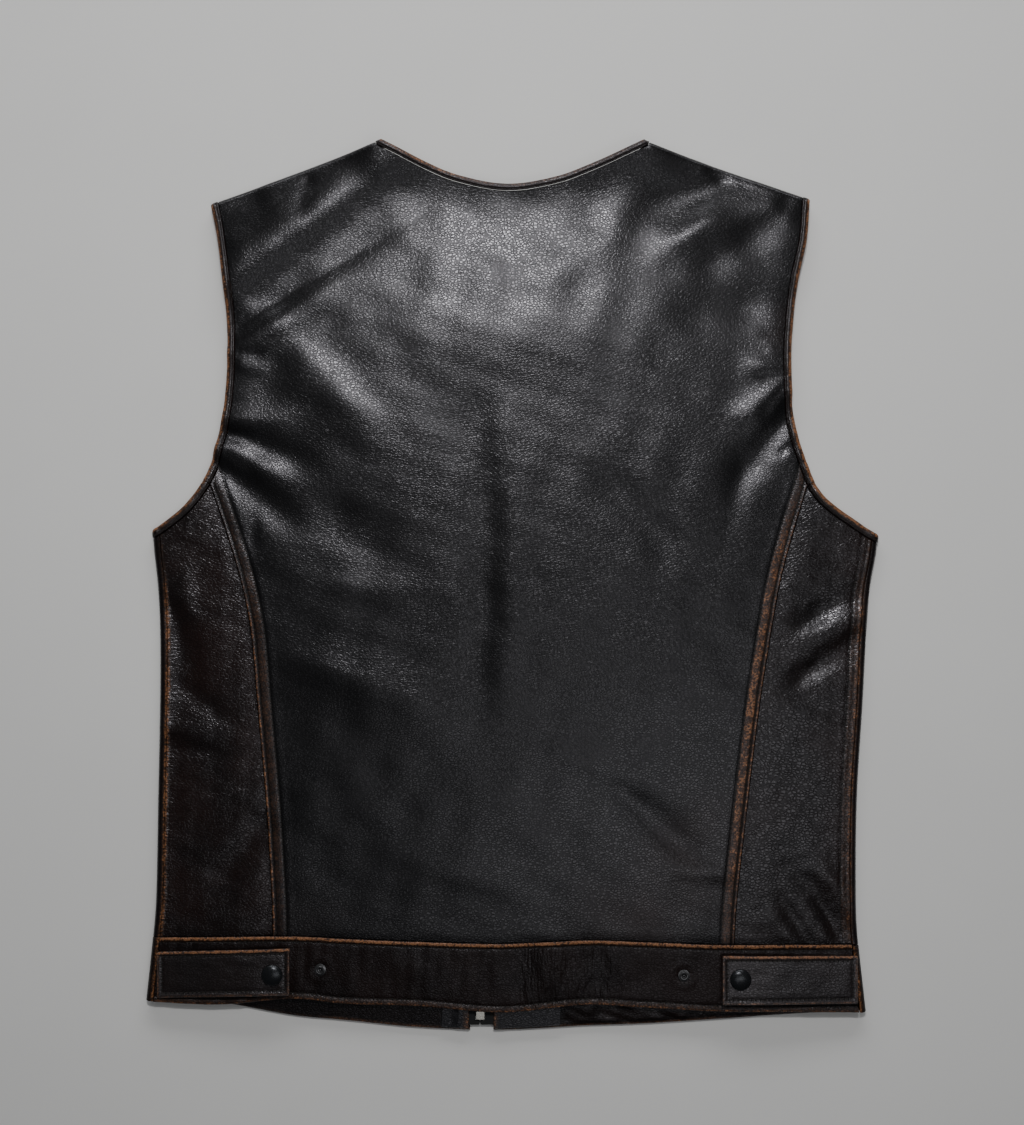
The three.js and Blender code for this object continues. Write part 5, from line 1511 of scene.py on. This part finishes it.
for side, (cap, spare) in SNAP_PLACES.items():
    pieces = (
        ("snap_cap", cap, snap_cap, BLACK_METAL), ("snap_stud", cap, stud, STUD_METAL),
        ("spare_stud", spare, stud, STUD_METAL),
    )
    for name, place, shape, material in pieces:
        corners, quads = shape()
        corners = corners + [*place, float(band_height(*place)) + BAND_WALL / 2]
        settings = {"slot": "black_metal", "replaces": (f"{name}_{side}",)}
        make(f"{name}_metal_{side}", corners, quads, material, **settings)
corners, quads = zip_chain()
make("zip_chain", corners, quads, BARE_METAL, slot="bare_metal", replaces=("zip_teeth",), smooth_angle=20)
for node in ("zip_box", "zip_slider", "zip_pull"):
    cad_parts[node].data.materials.clear()
    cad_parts[node].data.materials.append(BARE_METAL)


# Floor, light and camera

floor = Nodes("floor")
speckle = floor.add("ShaderNodeTexNoise", {"Scale": 60.0, "Detail": 3.0}).outputs["Fac"]
floor.give("Base Color", floor.mix(speckle, (0.78, 0.78, 0.77, 1), (0.82, 0.82, 0.81, 1)))
floor.give("Roughness", 0.9)
mesh = bpy.data.meshes.new("floor")
mesh.from_pydata([(-3, -3, 0), (3, -3, 0), (3, 3, 0), (-3, 3, 0)], [], [(0, 1, 2, 3)])
mesh.materials.append(floor.material)
ground = bpy.data.objects.new("floor", mesh)
ground.location.z = float(cad_low[2]) - 0.0003
bpy.context.scene.collection.objects.link(ground)


def area_light(name, place, target, size, watts, colour=(1, 1, 1)):
    data = bpy.data.lights.new(name, "AREA")
    data.shape, data.size, data.size_y = "RECTANGLE", *size
    data.energy, data.color = watts, colour
    light = bpy.data.objects.new(name, data)
    light.location = place
    way = Vector(target) - Vector(place)
    light.rotation_mode = "QUATERNION"
    light.rotation_quaternion = way.to_track_quat("-Z", "Y")
    bpy.context.scene.collection.objects.link(light)


area_light("key", (-0.02, 0.575, 1.25), (0, 0.1, 0), (0.17, 0.10), 7.0, (1.0, 0.99, 0.98))
area_light("sky", (0.0, 1.05, 1.4), (0, 0.1, 0), (1.2, 0.4), 0.5)
area_light("middle", (0.03, 0.35, 1.25), (0.03, 0.1, 0), (0.62, 0.20), 0.70)
area_light("over", (0.07, -0.42, 1.2), (0.03, -0.15, 0), (0.48, 0.34), 0.78)
area_light("side", (0.44, -0.34, 1.3), (0, -0.1, 0), (0.35, 0.45), 0.85)
area_light("top", (0.0, 2.0, 0.9), (0, 0.1, 0), (2.4, 0.5), 24)
world = bpy.data.worlds.new("studio")
world.use_nodes = True
world.node_tree.nodes["Background"].inputs["Color"].default_value = (0.93, 0.96, 1.0, 1)
world.node_tree.nodes["Background"].inputs["Strength"].default_value = 0.06
bpy.context.scene.world = world

PICTURE_CENTRE = np.array([-1.4, 17.6])
VIEW_HEIGHT, CAMERA_DISTANCE = 810, 1125
camera = bpy.data.cameras.new("camera")
camera.sensor_fit = "VERTICAL"
camera.sensor_height = 36
camera.lens = 36 * CAMERA_DISTANCE / VIEW_HEIGHT
view = bpy.data.objects.new("camera", camera)
view.location = (*((PICTURE_CENTRE - MIDDLE) * MM), (CAMERA_DISTANCE + 8) * MM)
bpy.context.scene.collection.objects.link(view)
bpy.context.scene.camera = view
